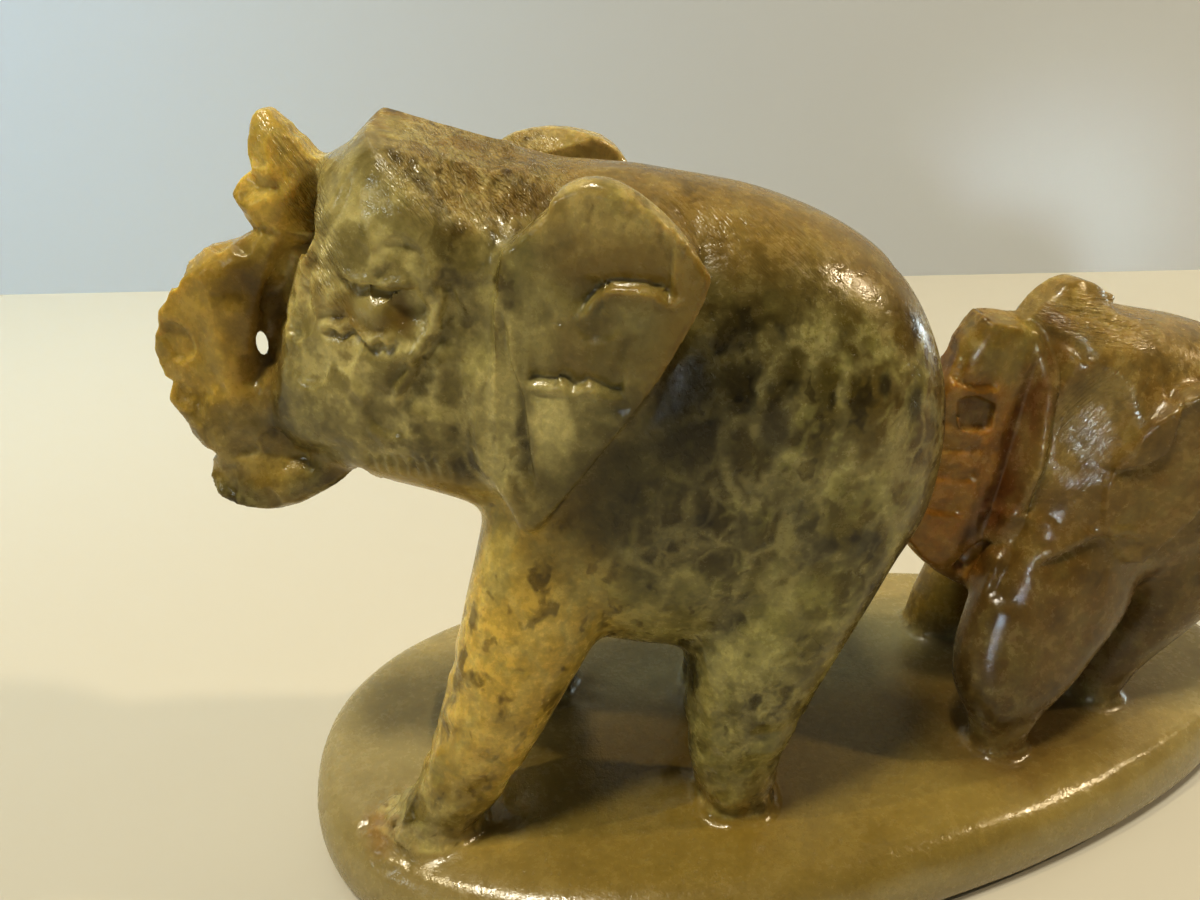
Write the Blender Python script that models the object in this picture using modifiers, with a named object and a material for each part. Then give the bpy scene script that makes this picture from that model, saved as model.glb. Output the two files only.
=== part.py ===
"""Soapstone elephant and calf: one carved stone group on an egg-shaped slab.

Each elephant is a union of lofts. A loft runs through sections, and a section is an oval that
spans two points, a and b, and has a half width across them. The elephants face -X.
"""

import math

import bmesh
import bpy
import numpy as np
from mathutils import Matrix

MM = 0.001

# Driving dimensions, in millimetres.
BASE_LENGTH = 127.2
BASE_WIDTH = 57.8
BASE_THICKNESS = 8.8
BASE_TAPER = 0.247
BASE_POWER = 2.2
# Rim of the slab, from the underside up: z, inset from the outline.
BASE_RIM = ((0.0, 1.4), (0.9, 0.4), (2.5, 0.0), (5.0, 0.1), (7.0, 0.9), (8.3, 2.2), (BASE_THICKNESS, 3.8))
BASE_POINTS = 160
MOTHER_PLACE = (-30.0, -5.0)
MOTHER_YAW = -8.0
CALF_PLACE = (26.0, -3.0)
CALF_YAW = 2.0
VOXEL = 0.7
TRIANGLES = 9600

STONE_COLOR = (0.32, 0.27, 0.13, 1.0)
STONE_ROUGHNESS = 0.3

RING_POINTS = 40
SPAN_STEPS = 4

# Sections of the large elephant, in its own frame: millimetres above the slab, x towards the tail.
# Upright sections along the body: x, low z, high z, half width.
MOTHER_BODY = (
    (-12.0, 37.0, 69.0, 9.0),
    (-8.0, 27.5, 69.3, 12.0),
    (-3.0, 21.5, 68.4, 14.0),
    (3.0, 19.0, 68.0, 15.0),
    (9.0, 18.6, 67.0, 15.5),
    (15.0, 19.2, 65.8, 15.5),
    (21.0, 21.0, 63.6, 15.0),
    (26.0, 24.0, 60.8, 14.0),
    (29.6, 27.5, 57.0, 12.0),
    (32.4, 32.0, 51.6, 9.0),
    (33.8, 38.0, 46.0, 4.2),
)
# Head and neck: upper x, z, lower x, z, half width.
MOTHER_HEAD = (
    (-4.0, 68.3, -8.0, 35.0, 12.6),
    (-10.0, 70.6, -13.2, 37.4, 13.2),
    (-14.0, 71.9, -17.0, 38.6, 12.7),
    (-17.7, 72.6, -21.0, 39.4, 11.6),
    (-20.5, 70.6, -24.0, 40.4, 10.2),
    (-23.0, 68.6, -27.5, 41.6, 8.5),
    (-24.5, 65.0, -30.5, 43.0, 6.5),
    (-25.8, 60.0, -31.5, 45.5, 4.0),
)
MOTHER_LIP = (
    (-21.0, 43.0, -22.0, 39.4, 5.2),
    (-26.0, 43.0, -26.5, 37.2, 5.8),
    (-30.0, 42.0, -30.0, 35.4, 5.8),
    (-34.0, 41.0, -34.6, 34.9, 5.4),
    (-37.2, 40.2, -37.8, 35.6, 4.4),
    (-39.2, 39.2, -39.8, 37.0, 2.4),
)
# Trunk, from the mouth to the tip on the forehead: outer x, z, inner x, z, half width.
MOTHER_TRUNK = (
    (-37.3, 40.2, -27.0, 40.8, 5.0),
    (-39.0, 43.2, -28.0, 45.0, 5.0),
    (-39.8, 45.4, -28.0, 48.0, 4.6),
    (-41.7, 48.2, -28.5, 50.5, 4.4),
    (-41.9, 51.0, -28.3, 53.0, 4.2),
    (-40.4, 54.5, -28.0, 56.5, 4.2),
    (-38.0, 58.6, -27.0, 58.5, 4.0),
    (-34.5, 61.0, -26.0, 60.5, 3.8),
    (-30.2, 62.6, -25.0, 62.0, 3.4),
    (-31.8, 65.6, -24.5, 64.5, 3.6),
    (-30.4, 67.5, -23.5, 67.0, 3.6),
    (-29.6, 70.5, -23.7, 69.0, 3.2),
    (-28.2, 73.0, -26.0, 71.4, 2.2),
)
# Ear, from the lower tip upward: z, front x, rear x.
MOTHER_EAR = (
    (38.4, -7.3, -5.9),
    (41.0, -8.2, -3.4),
    (45.0, -9.5, -0.8),
    (50.0, -9.3, 2.6),
    (55.0, -8.6, 5.2),
    (59.0, -8.3, 7.0),
    (62.0, -8.2, 7.8),
    (64.6, -7.6, 6.7),
    (66.4, -5.6, 5.0),
    (68.2, -3.4, 2.6),
    (69.2, -2.0, 0.6),
)
MOTHER_FAR_EAR = (
    (38.4, -9.8, -8.4),
    (41.0, -10.7, -5.9),
    (45.0, -12.0, -3.3),
    (50.0, -11.8, 0.1),
    (55.0, -11.1, 2.7),
    (59.0, -10.8, 4.5),
    (62.0, -10.7, 5.3),
    (64.6, -10.4, 5.0),
    (66.4, -9.8, 4.0),
    (68.2, -8.2, 1.9),
    (69.3, -5.4, -1.2),
)
# The blades' y at their front and rear edges, and their half thickness.
MOTHER_EAR_PLACE = (12.6, 17.2, 1.8)
# Legs, from the slab upward: z, front x, rear x, y, half width.
MOTHER_NEAR_FRONT = (
    (-1.0, -24.4, -13.6, -10.8, 4.2),
    (1.0, -23.6, -13.4, -10.7, 4.1),
    (5.0, -20.0, -10.6, -10.5, 4.4),
    (12.0, -17.3, -6.3, -10.2, 5.0),
    (18.0, -15.6, -3.2, -9.6, 5.4),
    (24.0, -14.2, 0.0, -8.8, 5.8),
    (32.0, -12.2, 2.0, -7.6, 6.0),
    (40.0, -10.0, 3.0, -6.4, 5.8),
)
MOTHER_FAR_FRONT = (
    (-1.0, -11.8, -1.8, 11.4, 4.9),
    (1.0, -11.6, -2.0, 11.4, 4.8),
    (5.0, -11.0, -1.8, 11.2, 4.7),
    (12.0, -10.8, -0.5, 10.6, 5.0),
    (18.0, -10.8, 1.2, 9.8, 5.4),
    (24.0, -10.8, 3.2, 8.8, 5.8),
    (32.0, -10.6, 4.5, 7.6, 6.0),
    (40.0, -9.5, 4.5, 6.4, 5.8),
)
MOTHER_NEAR_HIND = (
    (-1.0, 11.4, 19.8, -8.9, 4.0),
    (1.0, 11.2, 19.6, -8.9, 4.0),
    (5.0, 10.2, 19.6, -9.1, 4.4),
    (11.0, 9.2, 20.8, -9.3, 5.0),
    (17.0, 9.2, 22.8, -9.2, 5.6),
    (24.0, 9.8, 25.8, -8.8, 6.2),
    (32.0, 12.0, 29.4, -8.0, 6.4),
    (40.0, 14.0, 31.6, -7.0, 6.0),
)
MOTHER_FAR_HIND = (
    (-1.0, 12.6, 21.6, 9.8, 4.6),
    (1.0, 12.4, 21.4, 9.8, 4.5),
    (5.0, 12.0, 21.2, 9.8, 4.6),
    (11.0, 11.6, 21.6, 9.6, 5.0),
    (17.0, 11.6, 23.0, 9.4, 5.5),
    (24.0, 12.0, 25.6, 8.8, 6.1),
    (32.0, 13.0, 29.4, 8.0, 6.3),
    (40.0, 14.6, 31.6, 7.0, 6.0),
)
# Tail, from its root down the rump: x, y, z, half width.
MOTHER_TAIL = (
    (28.6, 3.4, 56.0, 1.3),
    (30.8, 4.6, 50.6, 1.4),
    (31.9, 5.6, 44.0, 1.4),
    (31.2, 6.4, 37.0, 1.3),
    (29.8, 7.0, 31.5, 1.7),
    (28.8, 7.2, 28.8, 1.0),
)

CALF_BODY = (
    (-8.0, 25.0, 46.0, 6.5),
    (-4.0, 20.0, 50.4, 9.0),
    (0.0, 17.4, 51.0, 11.0),
    (5.0, 16.2, 50.2, 12.0),
    (10.0, 15.8, 49.4, 12.5),
    (15.0, 16.2, 48.2, 12.5),
    (20.0, 17.4, 46.0, 11.8),
    (24.0, 19.8, 43.0, 10.2),
    (27.0, 23.5, 38.6, 7.6),
    (28.6, 28.0, 34.0, 3.8),
)
CALF_HEAD = (
    (6.0, 50.2, 4.0, 24.0, 10.4),
    (2.0, 51.2, -1.0, 21.5, 10.8),
    (-2.0, 52.0, -5.0, 20.0, 10.0),
    (-5.2, 52.0, -8.2, 19.6, 8.4),
    (-7.6, 50.0, -10.6, 20.6, 6.4),
    (-9.0, 46.0, -12.0, 23.0, 4.2),
)
CALF_KNOB = (
    (-8.0, 52.2, -7.4, 48.0, 1.8),
    (-6.2, 53.6, -5.8, 48.0, 2.6),
    (-4.2, 54.4, -3.8, 48.0, 3.0),
    (-2.2, 54.3, -1.8, 49.0, 2.8),
    (-0.4, 53.4, -0.2, 50.0, 2.2),
    (1.0, 52.4, 0.8, 50.8, 1.2),
)
CALF_LIP = (
    (-4.0, 21.6, -4.0, 17.2, 3.6),
    (-7.0, 21.6, -7.0, 16.4, 4.2),
    (-10.0, 21.0, -10.0, 16.6, 4.0),
    (-12.2, 20.2, -12.2, 17.8, 2.8),
)
CALF_TRUNK = (
    (-12.2, 17.6, -9.4, 18.4, 2.4),
    (-15.4, 20.2, -9.6, 21.8, 3.0),
    (-18.0, 23.4, -9.6, 25.4, 3.4),
    (-19.2, 29.0, -8.8, 30.4, 3.6),
    (-19.2, 35.0, -8.0, 36.0, 3.6),
    (-18.6, 40.0, -7.6, 40.4, 3.5),
    (-17.6, 44.2, -7.6, 43.8, 3.4),
    (-16.0, 48.0, -7.8, 46.8, 3.2),
    (-14.0, 51.4, -8.2, 49.8, 3.0),
)
CALF_EAR = (
    (24.8, 1.8, 3.4),
    (27.0, -0.2, 5.0),
    (30.0, -1.6, 6.8),
    (34.0, -2.4, 8.8),
    (38.0, -2.0, 10.6),
    (42.0, 0.6, 12.0),
    (45.0, 4.0, 12.0),
    (47.2, 7.2, 10.4),
)
CALF_EAR_PLACE = (9.8, 14.0, 1.5)
CALF_NEAR_FRONT = (
    (-1.0, -13.2, -4.0, -11.2, 4.1),
    (1.0, -13.4, -3.8, -11.2, 4.1),
    (5.0, -14.3, -2.4, -10.6, 4.5),
    (10.0, -14.7, 2.0, -9.4, 4.9),
    (15.0, -14.0, 7.0, -8.0, 5.0),
    (21.0, -11.8, 8.0, -7.0, 5.0),
    (28.0, -9.0, 6.0, -6.0, 4.4),
    (36.0, -6.0, 6.0, -4.0, 4.0),
)
CALF_FAR_FRONT = (
    (-1.0, -7.0, 0.8, 11.6, 3.8),
    (1.0, -7.2, 0.8, 11.6, 3.8),
    (5.0, -6.8, 1.6, 11.3, 4.1),
    (10.0, -5.4, 3.6, 10.7, 4.5),
    (15.0, -4.4, 5.4, 9.8, 5.0),
    (21.0, -4.0, 7.0, 8.4, 5.4),
    (28.0, -4.0, 7.0, 6.4, 4.6),
    (36.0, -3.0, 7.0, 4.4, 4.0),
)
CALF_NEAR_HIND = (
    (-1.0, 5.6, 12.0, -5.8, 3.4),
    (1.0, 5.6, 12.2, -5.8, 3.4),
    (5.0, 6.4, 13.2, -6.0, 3.7),
    (10.0, 8.0, 16.6, -6.4, 4.2),
    (15.0, 9.4, 20.8, -6.8, 4.8),
    (22.0, 10.2, 24.0, -6.8, 5.4),
    (30.0, 11.0, 26.0, -6.0, 5.0),
)
CALF_FAR_HIND = (
    (-1.0, 14.0, 22.0, 7.8, 3.9),
    (1.0, 14.0, 22.0, 7.8, 3.9),
    (5.0, 13.8, 22.2, 7.8, 4.0),
    (10.0, 13.2, 22.8, 7.7, 4.4),
    (15.0, 12.4, 23.8, 7.4, 4.9),
    (22.0, 11.6, 25.2, 6.8, 5.4),
    (30.0, 11.6, 26.4, 6.0, 5.0),
)
CALF_TAIL = (
    (24.2, 0.6, 42.6, 1.0),
    (26.6, 1.6, 38.4, 1.1),
    (28.0, 2.6, 33.0, 1.1),
    (27.6, 3.6, 28.0, 1.0),
    (26.4, 4.2, 24.0, 1.4),
    (25.8, 4.4, 22.2, 0.8),
)

# Wedge filed out between head and ear, from its point upward: z, front x, rear x, y, half depth.
MOTHER_NOTCH = (
    (63.6, -8.8, -7.4, 14.6, 1.2),
    (66.6, -12.0, -5.4, 13.6, 3.8),
    (70.0, -16.6, -3.0, 12.8, 6.6),
    (76.0, -22.0, 1.0, 12.0, 9.0),
)


def clear_scene():
    for obj in list(bpy.data.objects):
        bpy.data.objects.remove(obj, do_unlink=True)


def make_collection(name):
    collection = bpy.data.collections.new(name)
    bpy.context.scene.collection.children.link(collection)
    return collection


def densify(rows):
    """Catmull-Rom interpolation of the section table."""
    rows = np.array(rows, dtype=float)
    padded = np.vstack((2 * rows[0] - rows[1], rows, 2 * rows[-1] - rows[-2]))
    out = []
    for i in range(1, len(padded) - 2):
        p0, p1, p2, p3 = padded[i - 1:i + 3]
        for step in range(SPAN_STEPS):
            t = step / SPAN_STEPS
            out.append(0.5 * (2 * p1 + (p2 - p0) * t + (2 * p0 - 5 * p1 + 4 * p2 - p3) * t ** 2
                              + (3 * p1 - p0 - 3 * p2 + p3) * t ** 3))
    out.append(rows[-1])
    return np.array(out)


def loft(sections, power=2.3):
    """Closed bmesh through sections of a(3), b(3), half width."""
    rows = densify(sections)
    a, b, half = rows[:, 0:3], rows[:, 3:6], rows[:, 6]
    middle = (a + b) / 2
    tangent = np.gradient(middle, axis=0)
    reach = (a - b) / 2
    across = np.cross(reach, tangent)
    across /= np.linalg.norm(across, axis=1)[:, None]
    bm = bmesh.new()
    rings = []
    for i in range(len(rows)):
        ring = []
        for k in range(RING_POINTS):
            angle = 2 * math.pi * k / RING_POINTS
            c, s = math.cos(angle), math.sin(angle)
            along = math.copysign(abs(c) ** (2 / power), c)
            side = math.copysign(abs(s) ** (2 / power), s)
            ring.append(bm.verts.new(middle[i] + along * reach[i] + side * half[i] * across[i]))
        rings.append(ring)
    for first, second in zip(rings, rings[1:]):
        for k in range(RING_POINTS):
            after = (k + 1) % RING_POINTS
            bm.faces.new((first[k], first[after], second[after], second[k]))
    bm.faces.new(list(reversed(rings[0])))
    bm.faces.new(rings[-1])
    bmesh.ops.recalc_face_normals(bm, faces=bm.faces)
    return bm


def upright(rows):
    """Sections across the body from x, low z, high z, half width."""
    return [(x, 0, high, x, 0, low, half) for x, low, high, half in rows]


def facing(rows):
    """Sections from upper or outer x, z, lower or inner x, z, half width."""
    return [(ax, 0, az, bx, 0, bz, half) for ax, az, bx, bz, half in rows]


def leg(rows):
    """Level sections from z, front x, rear x, y, half width."""
    return [(front, y, z, rear, y, z, half) for z, front, rear, y, half in rows]


def tail(rows):
    """Round sections along a hanging tail from x, y, z, half width."""
    return [(x, y - half, z, x, y + half, z, half) for x, y, z, half in rows]


def ear(rows, front_y, rear_y, half, side):
    """Level sections of an ear blade that leaves the cheek and opens towards its rear edge."""
    widest = max(rear for _, _, rear in rows)
    narrowest = min(front for _, front, _ in rows)
    out = []
    slope = (rear_y - front_y) / (widest - narrowest)
    for z, front, rear in rows:
        front_side = side * (front_y + slope * (front - narrowest))
        rear_side = side * (front_y + slope * (rear - narrowest))
        out.append((front, front_side, z, rear, rear_side, z, half))
    return out


def add_mesh(name, parts, matrix, collection):
    """One object from several closed bmeshes, in millimetres, placed by a matrix."""
    joined = bmesh.new()
    for part in parts:
        mesh = bpy.data.meshes.new("part")
        part.to_mesh(mesh)
        part.free()
        joined.from_mesh(mesh)
        bpy.data.meshes.remove(mesh)
    joined.transform(Matrix.Scale(MM, 4) @ matrix)
    mesh = bpy.data.meshes.new(name)
    joined.to_mesh(mesh)
    joined.free()
    obj = bpy.data.objects.new(name, mesh)
    collection.objects.link(obj)
    return obj


def slab():
    """The egg-shaped base as level rings with a rounded rim."""
    bm = bmesh.new()
    rings = []
    for z, inset in BASE_RIM:
        ring = []
        for k in range(BASE_POINTS):
            angle = 2 * math.pi * k / BASE_POINTS
            c, s = math.cos(angle), math.sin(angle)
            x = (BASE_LENGTH / 2 - inset) * math.copysign(abs(c) ** (2 / BASE_POWER), c)
            half = (BASE_WIDTH / 2 - inset) * (1 - BASE_TAPER * x / (BASE_LENGTH / 2))
            y = half * math.copysign(abs(s) ** (2 / BASE_POWER), s)
            ring.append(bm.verts.new((x, y, z)))
        rings.append(ring)
    for first, second in zip(rings, rings[1:]):
        for k in range(BASE_POINTS):
            after = (k + 1) % BASE_POINTS
            bm.faces.new((first[k], first[after], second[after], second[k]))
    bm.faces.new(list(reversed(rings[0])))
    bm.faces.new(rings[-1])
    return bm


def placement(place, yaw):
    """Matrix from an elephant's own frame to the group's."""
    turn = Matrix.Rotation(math.radians(yaw), 4, "Z")
    return Matrix.Translation((*place, BASE_THICKNESS)) @ turn


def applied(obj, name, collection):
    """A new object with the evaluated mesh of obj, which is removed."""
    depsgraph = bpy.context.evaluated_depsgraph_get()
    mesh = bpy.data.meshes.new_from_object(obj.evaluated_get(depsgraph))
    mesh.name = name
    bpy.data.objects.remove(obj, do_unlink=True)
    new = bpy.data.objects.new(name, mesh)
    collection.objects.link(new)
    return new


def remesh(obj, voxel):
    modifier = obj.modifiers.new("Union", "REMESH")
    modifier.mode = "VOXEL"
    modifier.voxel_size = voxel * MM


def smooth(obj, iterations, factor=0.5):
    modifier = obj.modifiers.new("Soften", "SMOOTH")
    modifier.factor = factor
    modifier.iterations = iterations


def stone_material():
    material = bpy.data.materials.new("soapstone")
    material.use_nodes = True
    shader = material.node_tree.nodes["Principled BSDF"]
    shader.inputs["Base Color"].default_value = STONE_COLOR
    shader.inputs["Roughness"].default_value = STONE_ROUGHNESS
    shader.inputs["Metallic"].default_value = 0.0
    return material


def notch(rows, side):
    """Level sections of the wedge that parts the head from one ear."""
    return [(front, side * y, z, rear, side * y, z, half) for z, front, rear, y, half in rows]


def count_triangles(mesh):
    return sum(len(polygon.vertices) - 2 for polygon in mesh.polygons)


def flatten_underside(mesh):
    """Sets the slab's lowest layer exactly level and centres the group on the origin."""
    points = np.empty(len(mesh.vertices) * 3, dtype=np.float32)
    mesh.vertices.foreach_get("co", points)
    points = points.reshape(-1, 3)
    floor = points[:, 2].min()
    points[points[:, 2] < floor + VOXEL / 2 * MM, 2] = floor
    points[:, 2] -= floor
    centre = (points.min(axis=0) + points.max(axis=0)) / 2
    points[:, :2] -= centre[:2]
    mesh.vertices.foreach_set("co", points.ravel())
    mesh.update()


def join(objects, name):
    """One object from several, so that the remesh unites them."""
    bm = bmesh.new()
    for obj in objects:
        bm.from_mesh(obj.data)
    mesh = bpy.data.meshes.new(name)
    bm.to_mesh(mesh)
    bm.free()
    collection = objects[0].users_collection[0]
    for obj in objects:
        bpy.data.objects.remove(obj, do_unlink=True)
    joined = bpy.data.objects.new(name, mesh)
    collection.objects.link(joined)
    return joined


def build():
    clear_scene()
    stone = make_collection("soapstone_elephants")
    cutters = make_collection("cutters")
    mother = placement(MOTHER_PLACE, MOTHER_YAW)
    calf = placement(CALF_PLACE, CALF_YAW)

    mass = join([
        add_mesh("mother_mass", [
            loft(upright(MOTHER_BODY), 2.4),
            loft(facing(MOTHER_HEAD), 3.0),
            loft(leg(MOTHER_NEAR_FRONT)),
            loft(leg(MOTHER_FAR_FRONT)),
            loft(leg(MOTHER_NEAR_HIND)),
            loft(leg(MOTHER_FAR_HIND)),
        ], mother, stone),
        add_mesh("calf_mass", [
            loft(upright(CALF_BODY), 2.4),
            loft(facing(CALF_HEAD), 2.6),
            loft(leg(CALF_NEAR_FRONT)),
            loft(leg(CALF_FAR_FRONT)),
            loft(leg(CALF_NEAR_HIND)),
            loft(leg(CALF_FAR_HIND)),
        ], calf, stone),
    ], "mass")
    remesh(mass, VOXEL)
    smooth(mass, 8)
    mass = applied(mass, "mass", stone)

    wedges = add_mesh("wedges", [loft(notch(MOTHER_NOTCH, side)) for side in (-1, 1)], mother, cutters)
    wedges.hide_render = True
    wedges.display_type = "WIRE"
    cut = mass.modifiers.new("Wedges", "BOOLEAN")
    cut.operation = "DIFFERENCE"
    cut.object = wedges
    mass = applied(mass, "mass", stone)

    carving = join([
        mass,
        add_mesh("slab_mass", [slab()], Matrix.Identity(4), stone),
        add_mesh("mother_relief", [
            loft(facing(MOTHER_LIP)),
            loft(facing(MOTHER_TRUNK)),
            loft(tail(MOTHER_TAIL), 2.0),
            loft(ear(MOTHER_EAR, *MOTHER_EAR_PLACE, -1), 2.6),
            loft(ear(MOTHER_FAR_EAR, *MOTHER_EAR_PLACE, 1), 2.6),
        ], mother, stone),
        add_mesh("calf_relief", [
            loft(facing(CALF_LIP)),
            loft(facing(CALF_TRUNK), 3.0),
            loft(facing(CALF_KNOB)),
            loft(tail(CALF_TAIL), 2.0),
            loft(ear(CALF_EAR, *CALF_EAR_PLACE, -1), 2.6),
            loft(ear(CALF_EAR, *CALF_EAR_PLACE, 1), 2.6),
        ], calf, stone),
    ], "elephant_carving")
    remesh(carving, VOXEL)
    smooth(carving, 2)
    carving = applied(carving, "elephant_carving", stone)
    flatten_underside(carving.data)
    reduce = carving.modifiers.new("Facets", "DECIMATE")
    reduce.ratio = TRIANGLES / count_triangles(carving.data)
    carving = applied(carving, "elephant_carving", stone)
    carving.data.materials.clear()
    carving.data.materials.append(stone_material())


build()
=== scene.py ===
"""Soapstone elephant and calf: the carved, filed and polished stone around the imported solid.

The two figures are sculpted in their own frames, in millimetres: x towards the tail, y away from
the near side, z above the slab.
"""
import math
import random

import bmesh
import bpy
import numpy as np
from mathutils import Matrix, Vector, noise


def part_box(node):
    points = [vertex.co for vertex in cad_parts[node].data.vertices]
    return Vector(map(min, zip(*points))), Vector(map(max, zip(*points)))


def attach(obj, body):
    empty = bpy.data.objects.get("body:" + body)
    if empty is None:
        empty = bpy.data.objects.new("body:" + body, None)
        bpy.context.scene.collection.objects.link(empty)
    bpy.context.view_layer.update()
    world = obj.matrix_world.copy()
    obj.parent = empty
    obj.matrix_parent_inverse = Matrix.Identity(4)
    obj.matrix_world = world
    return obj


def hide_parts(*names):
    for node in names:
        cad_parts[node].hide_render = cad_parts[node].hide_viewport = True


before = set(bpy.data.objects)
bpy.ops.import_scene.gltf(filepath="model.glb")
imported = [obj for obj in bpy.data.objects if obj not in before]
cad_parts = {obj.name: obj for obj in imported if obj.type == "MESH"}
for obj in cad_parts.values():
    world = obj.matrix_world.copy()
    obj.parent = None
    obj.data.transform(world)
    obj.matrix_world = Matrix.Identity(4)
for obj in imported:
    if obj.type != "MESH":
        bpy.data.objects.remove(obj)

NODE = "elephant_carving"
MM = 0.001
LOW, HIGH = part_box(NODE)
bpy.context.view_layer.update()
# The slab's height, in millimetres.
SLAB_TOP = 8.8
# The two sides of a figure: the sign of y.
NEAR = -1
FAR = 1


class Figure:
    """One elephant's own frame: its place on the slab, in millimetres, and its turn about Z."""

    def __init__(self, from_low_x, from_middle_y, yaw):
        x = LOW.x / MM + from_low_x
        y = (LOW.y + HIGH.y) / 2 / MM + from_middle_y
        place = Matrix.Translation((x, y, LOW.z / MM + SLAB_TOP))
        self.matrix = place @ Matrix.Rotation(math.radians(yaw), 4, "Z")
        self.yaw = yaw
        self.rotation = np.array(self.matrix.to_3x3())
        self.origin = np.array(self.matrix.translation)

    def inward(self, points):
        """The group's millimetres, in the figure's frame."""
        return (points - self.origin) @ self.rotation

    def outward(self, points):
        """The figure's millimetres, in the group's frame."""
        return points @ self.rotation.T + self.origin

    def at(self, point):
        """A place in the figure's frame, in the group's frame, in metres."""
        return (self.matrix @ Vector(point)) * MM


MOTHER = Figure(41.63, -5.0, -8.0)
CALF = Figure(97.63, -3.0, 2.0)


# -------------------- solids that are added or cut

def placed(name, data):
    """A new object in the scene."""
    obj = bpy.data.objects.new(name, data)
    bpy.context.scene.collection.objects.link(obj)
    return obj


def object_of(name, bm):
    """A new object from a bmesh in metres."""
    mesh = bpy.data.meshes.new(name)
    bm.to_mesh(mesh)
    bm.free()
    return placed(name, mesh)


def mesh_object(name, bm, figure=None):
    """A new object from a bmesh in millimetres, in a figure's frame or the group's."""
    if figure is not None:
        bm.transform(figure.matrix)
    bm.transform(Matrix.Scale(MM, 4))
    return object_of(name, bm)


def hull(figure, points):
    """A convex block through the points."""
    bm = bmesh.new()
    for point in points:
        bm.verts.new(point)
    bmesh.ops.convex_hull(bm, input=bm.verts)
    loose = [v for v in bm.verts if not v.link_faces]
    bmesh.ops.delete(bm, geom=loose, context="VERTS")
    bmesh.ops.recalc_face_normals(bm, faces=bm.faces)
    return mesh_object("block", bm, figure)


def blade(figure, outline, thickness, side):
    """A block under a convex outline, x, depth, z, that reaches inward by its thickness."""
    outer = [(x, side * y, z) for x, y, z in outline]
    inner = [(x, side * (y - thickness), z) for x, y, z in outline]
    return hull(figure, outer + inner)


def joined(objects, name):
    """One mesh of several, which may overlap."""
    bm = bmesh.new()
    for obj in objects:
        bm.from_mesh(obj.data)
        bpy.data.objects.remove(obj, do_unlink=True)
    return object_of(name, bm)


def settled(obj):
    """The object with its modifiers applied."""
    depsgraph = bpy.context.evaluated_depsgraph_get()
    mesh = bpy.data.meshes.new_from_object(obj.evaluated_get(depsgraph))
    obj.modifiers.clear()
    obj.data = mesh
    return obj


def voxels(obj, size):
    """The object as one closed skin, with cells of this size."""
    modifier = obj.modifiers.new("Unite", "REMESH")
    modifier.mode = "VOXEL"
    modifier.voxel_size = size * MM
    return settled(obj)


def cut(obj, cutters):
    """Takes the cutters' volumes away, and the cutters with them."""
    for cutter in cutters:
        modifier = obj.modifiers.new("Cut", "BOOLEAN")
        modifier.operation = "DIFFERENCE"
        modifier.solver = "MANIFOLD"
        modifier.object = cutter
    settled(obj)
    for cutter in cutters:
        bpy.data.objects.remove(cutter, do_unlink=True)
    return obj


# -------------------- points and strokes

def vertex_values(mesh, name):
    """A value of every vertex, in rows of three."""
    values = np.empty(len(mesh.vertices) * 3, dtype=np.float32)
    mesh.vertices.foreach_get(name, values)
    return values.reshape(-1, 3).astype(float)


def read_points(mesh):
    return vertex_values(mesh, "co") / MM


def write_points(mesh, points):
    mesh.vertices.foreach_set("co", (points * MM).astype(np.float32).ravel())
    mesh.update()


# The pull and the push of a round of smoothing.
SMOOTHING = (0.5, -0.53)


def smooth_surface(mesh, rounds):
    """Taubin smoothing: takes the facets out and keeps the volume."""
    count = len(mesh.vertices)
    edges = np.empty(len(mesh.edges) * 2, dtype=np.int32)
    mesh.edges.foreach_get("vertices", edges)
    a, b = edges.reshape(-1, 2).T
    valence = np.bincount(a, minlength=count) + np.bincount(b, minlength=count)
    points = read_points(mesh)
    for _ in range(rounds):
        for factor in SMOOTHING:
            total = np.empty_like(points)
            for axis in range(3):
                column = points[:, axis]
                total[:, axis] = (np.bincount(a, column[b], minlength=count)
                                  + np.bincount(b, column[a], minlength=count))
            points += factor * (total / valence[:, None] - points)
    write_points(mesh, points)


def smoothstep(low, high, value):
    """From 0 to 1 as the value goes from low to high, with soft ends."""
    t = np.clip((value - low) / (high - low), 0, 1)
    return t * t * (3 - 2 * t)


def oval(points, centre, radii):
    """How far points are from a centre, as shares of an oval's radii."""
    return np.sqrt((((points - np.array(centre)) / np.array(radii)) ** 2).sum(axis=1))


def polyline(path, steps=4):
    """A smooth open curve through the path's points."""
    path = np.array(path, dtype=float)
    if len(path) < 3:
        return path
    padded = np.vstack((2 * path[0] - path[1], path, 2 * path[-1] - path[-2]))
    out = []
    for i in range(1, len(padded) - 2):
        p0, p1, p2, p3 = padded[i - 1:i + 3]
        for t in np.arange(steps) / steps:
            out.append(0.5 * (2 * p1 + (p2 - p0) * t + (2 * p0 - 5 * p1 + 4 * p2 - p3) * t ** 2
                              + (3 * p1 - p0 - 3 * p2 + p3) * t ** 3))
    out.append(path[-1])
    return np.array(out)


def along(path, flat):
    """Distance from flat points to a path, which side they lie on, and how far along they are."""
    lengths = np.linalg.norm(np.diff(path, axis=0), axis=1)
    starts = np.concatenate(([0], np.cumsum(lengths)))
    nearest = np.full(len(flat), np.inf)
    side = np.ones(len(flat))
    place = np.zeros(len(flat))
    for i, length in enumerate(lengths):
        step = (path[i + 1] - path[i]) / length
        offset = flat - path[i]
        t = np.clip(offset @ step, 0, length)
        away = offset - t[:, None] * step
        distance = np.hypot(away[:, 0], away[:, 1])
        closer = distance < nearest
        nearest[closer] = distance[closer]
        side[closer] = np.sign(step[0] * offset[closer, 1] - step[1] * offset[closer, 0])
        place[closer] = (starts[i] + t[closer]) / starts[-1]
    return nearest, side, place


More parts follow.
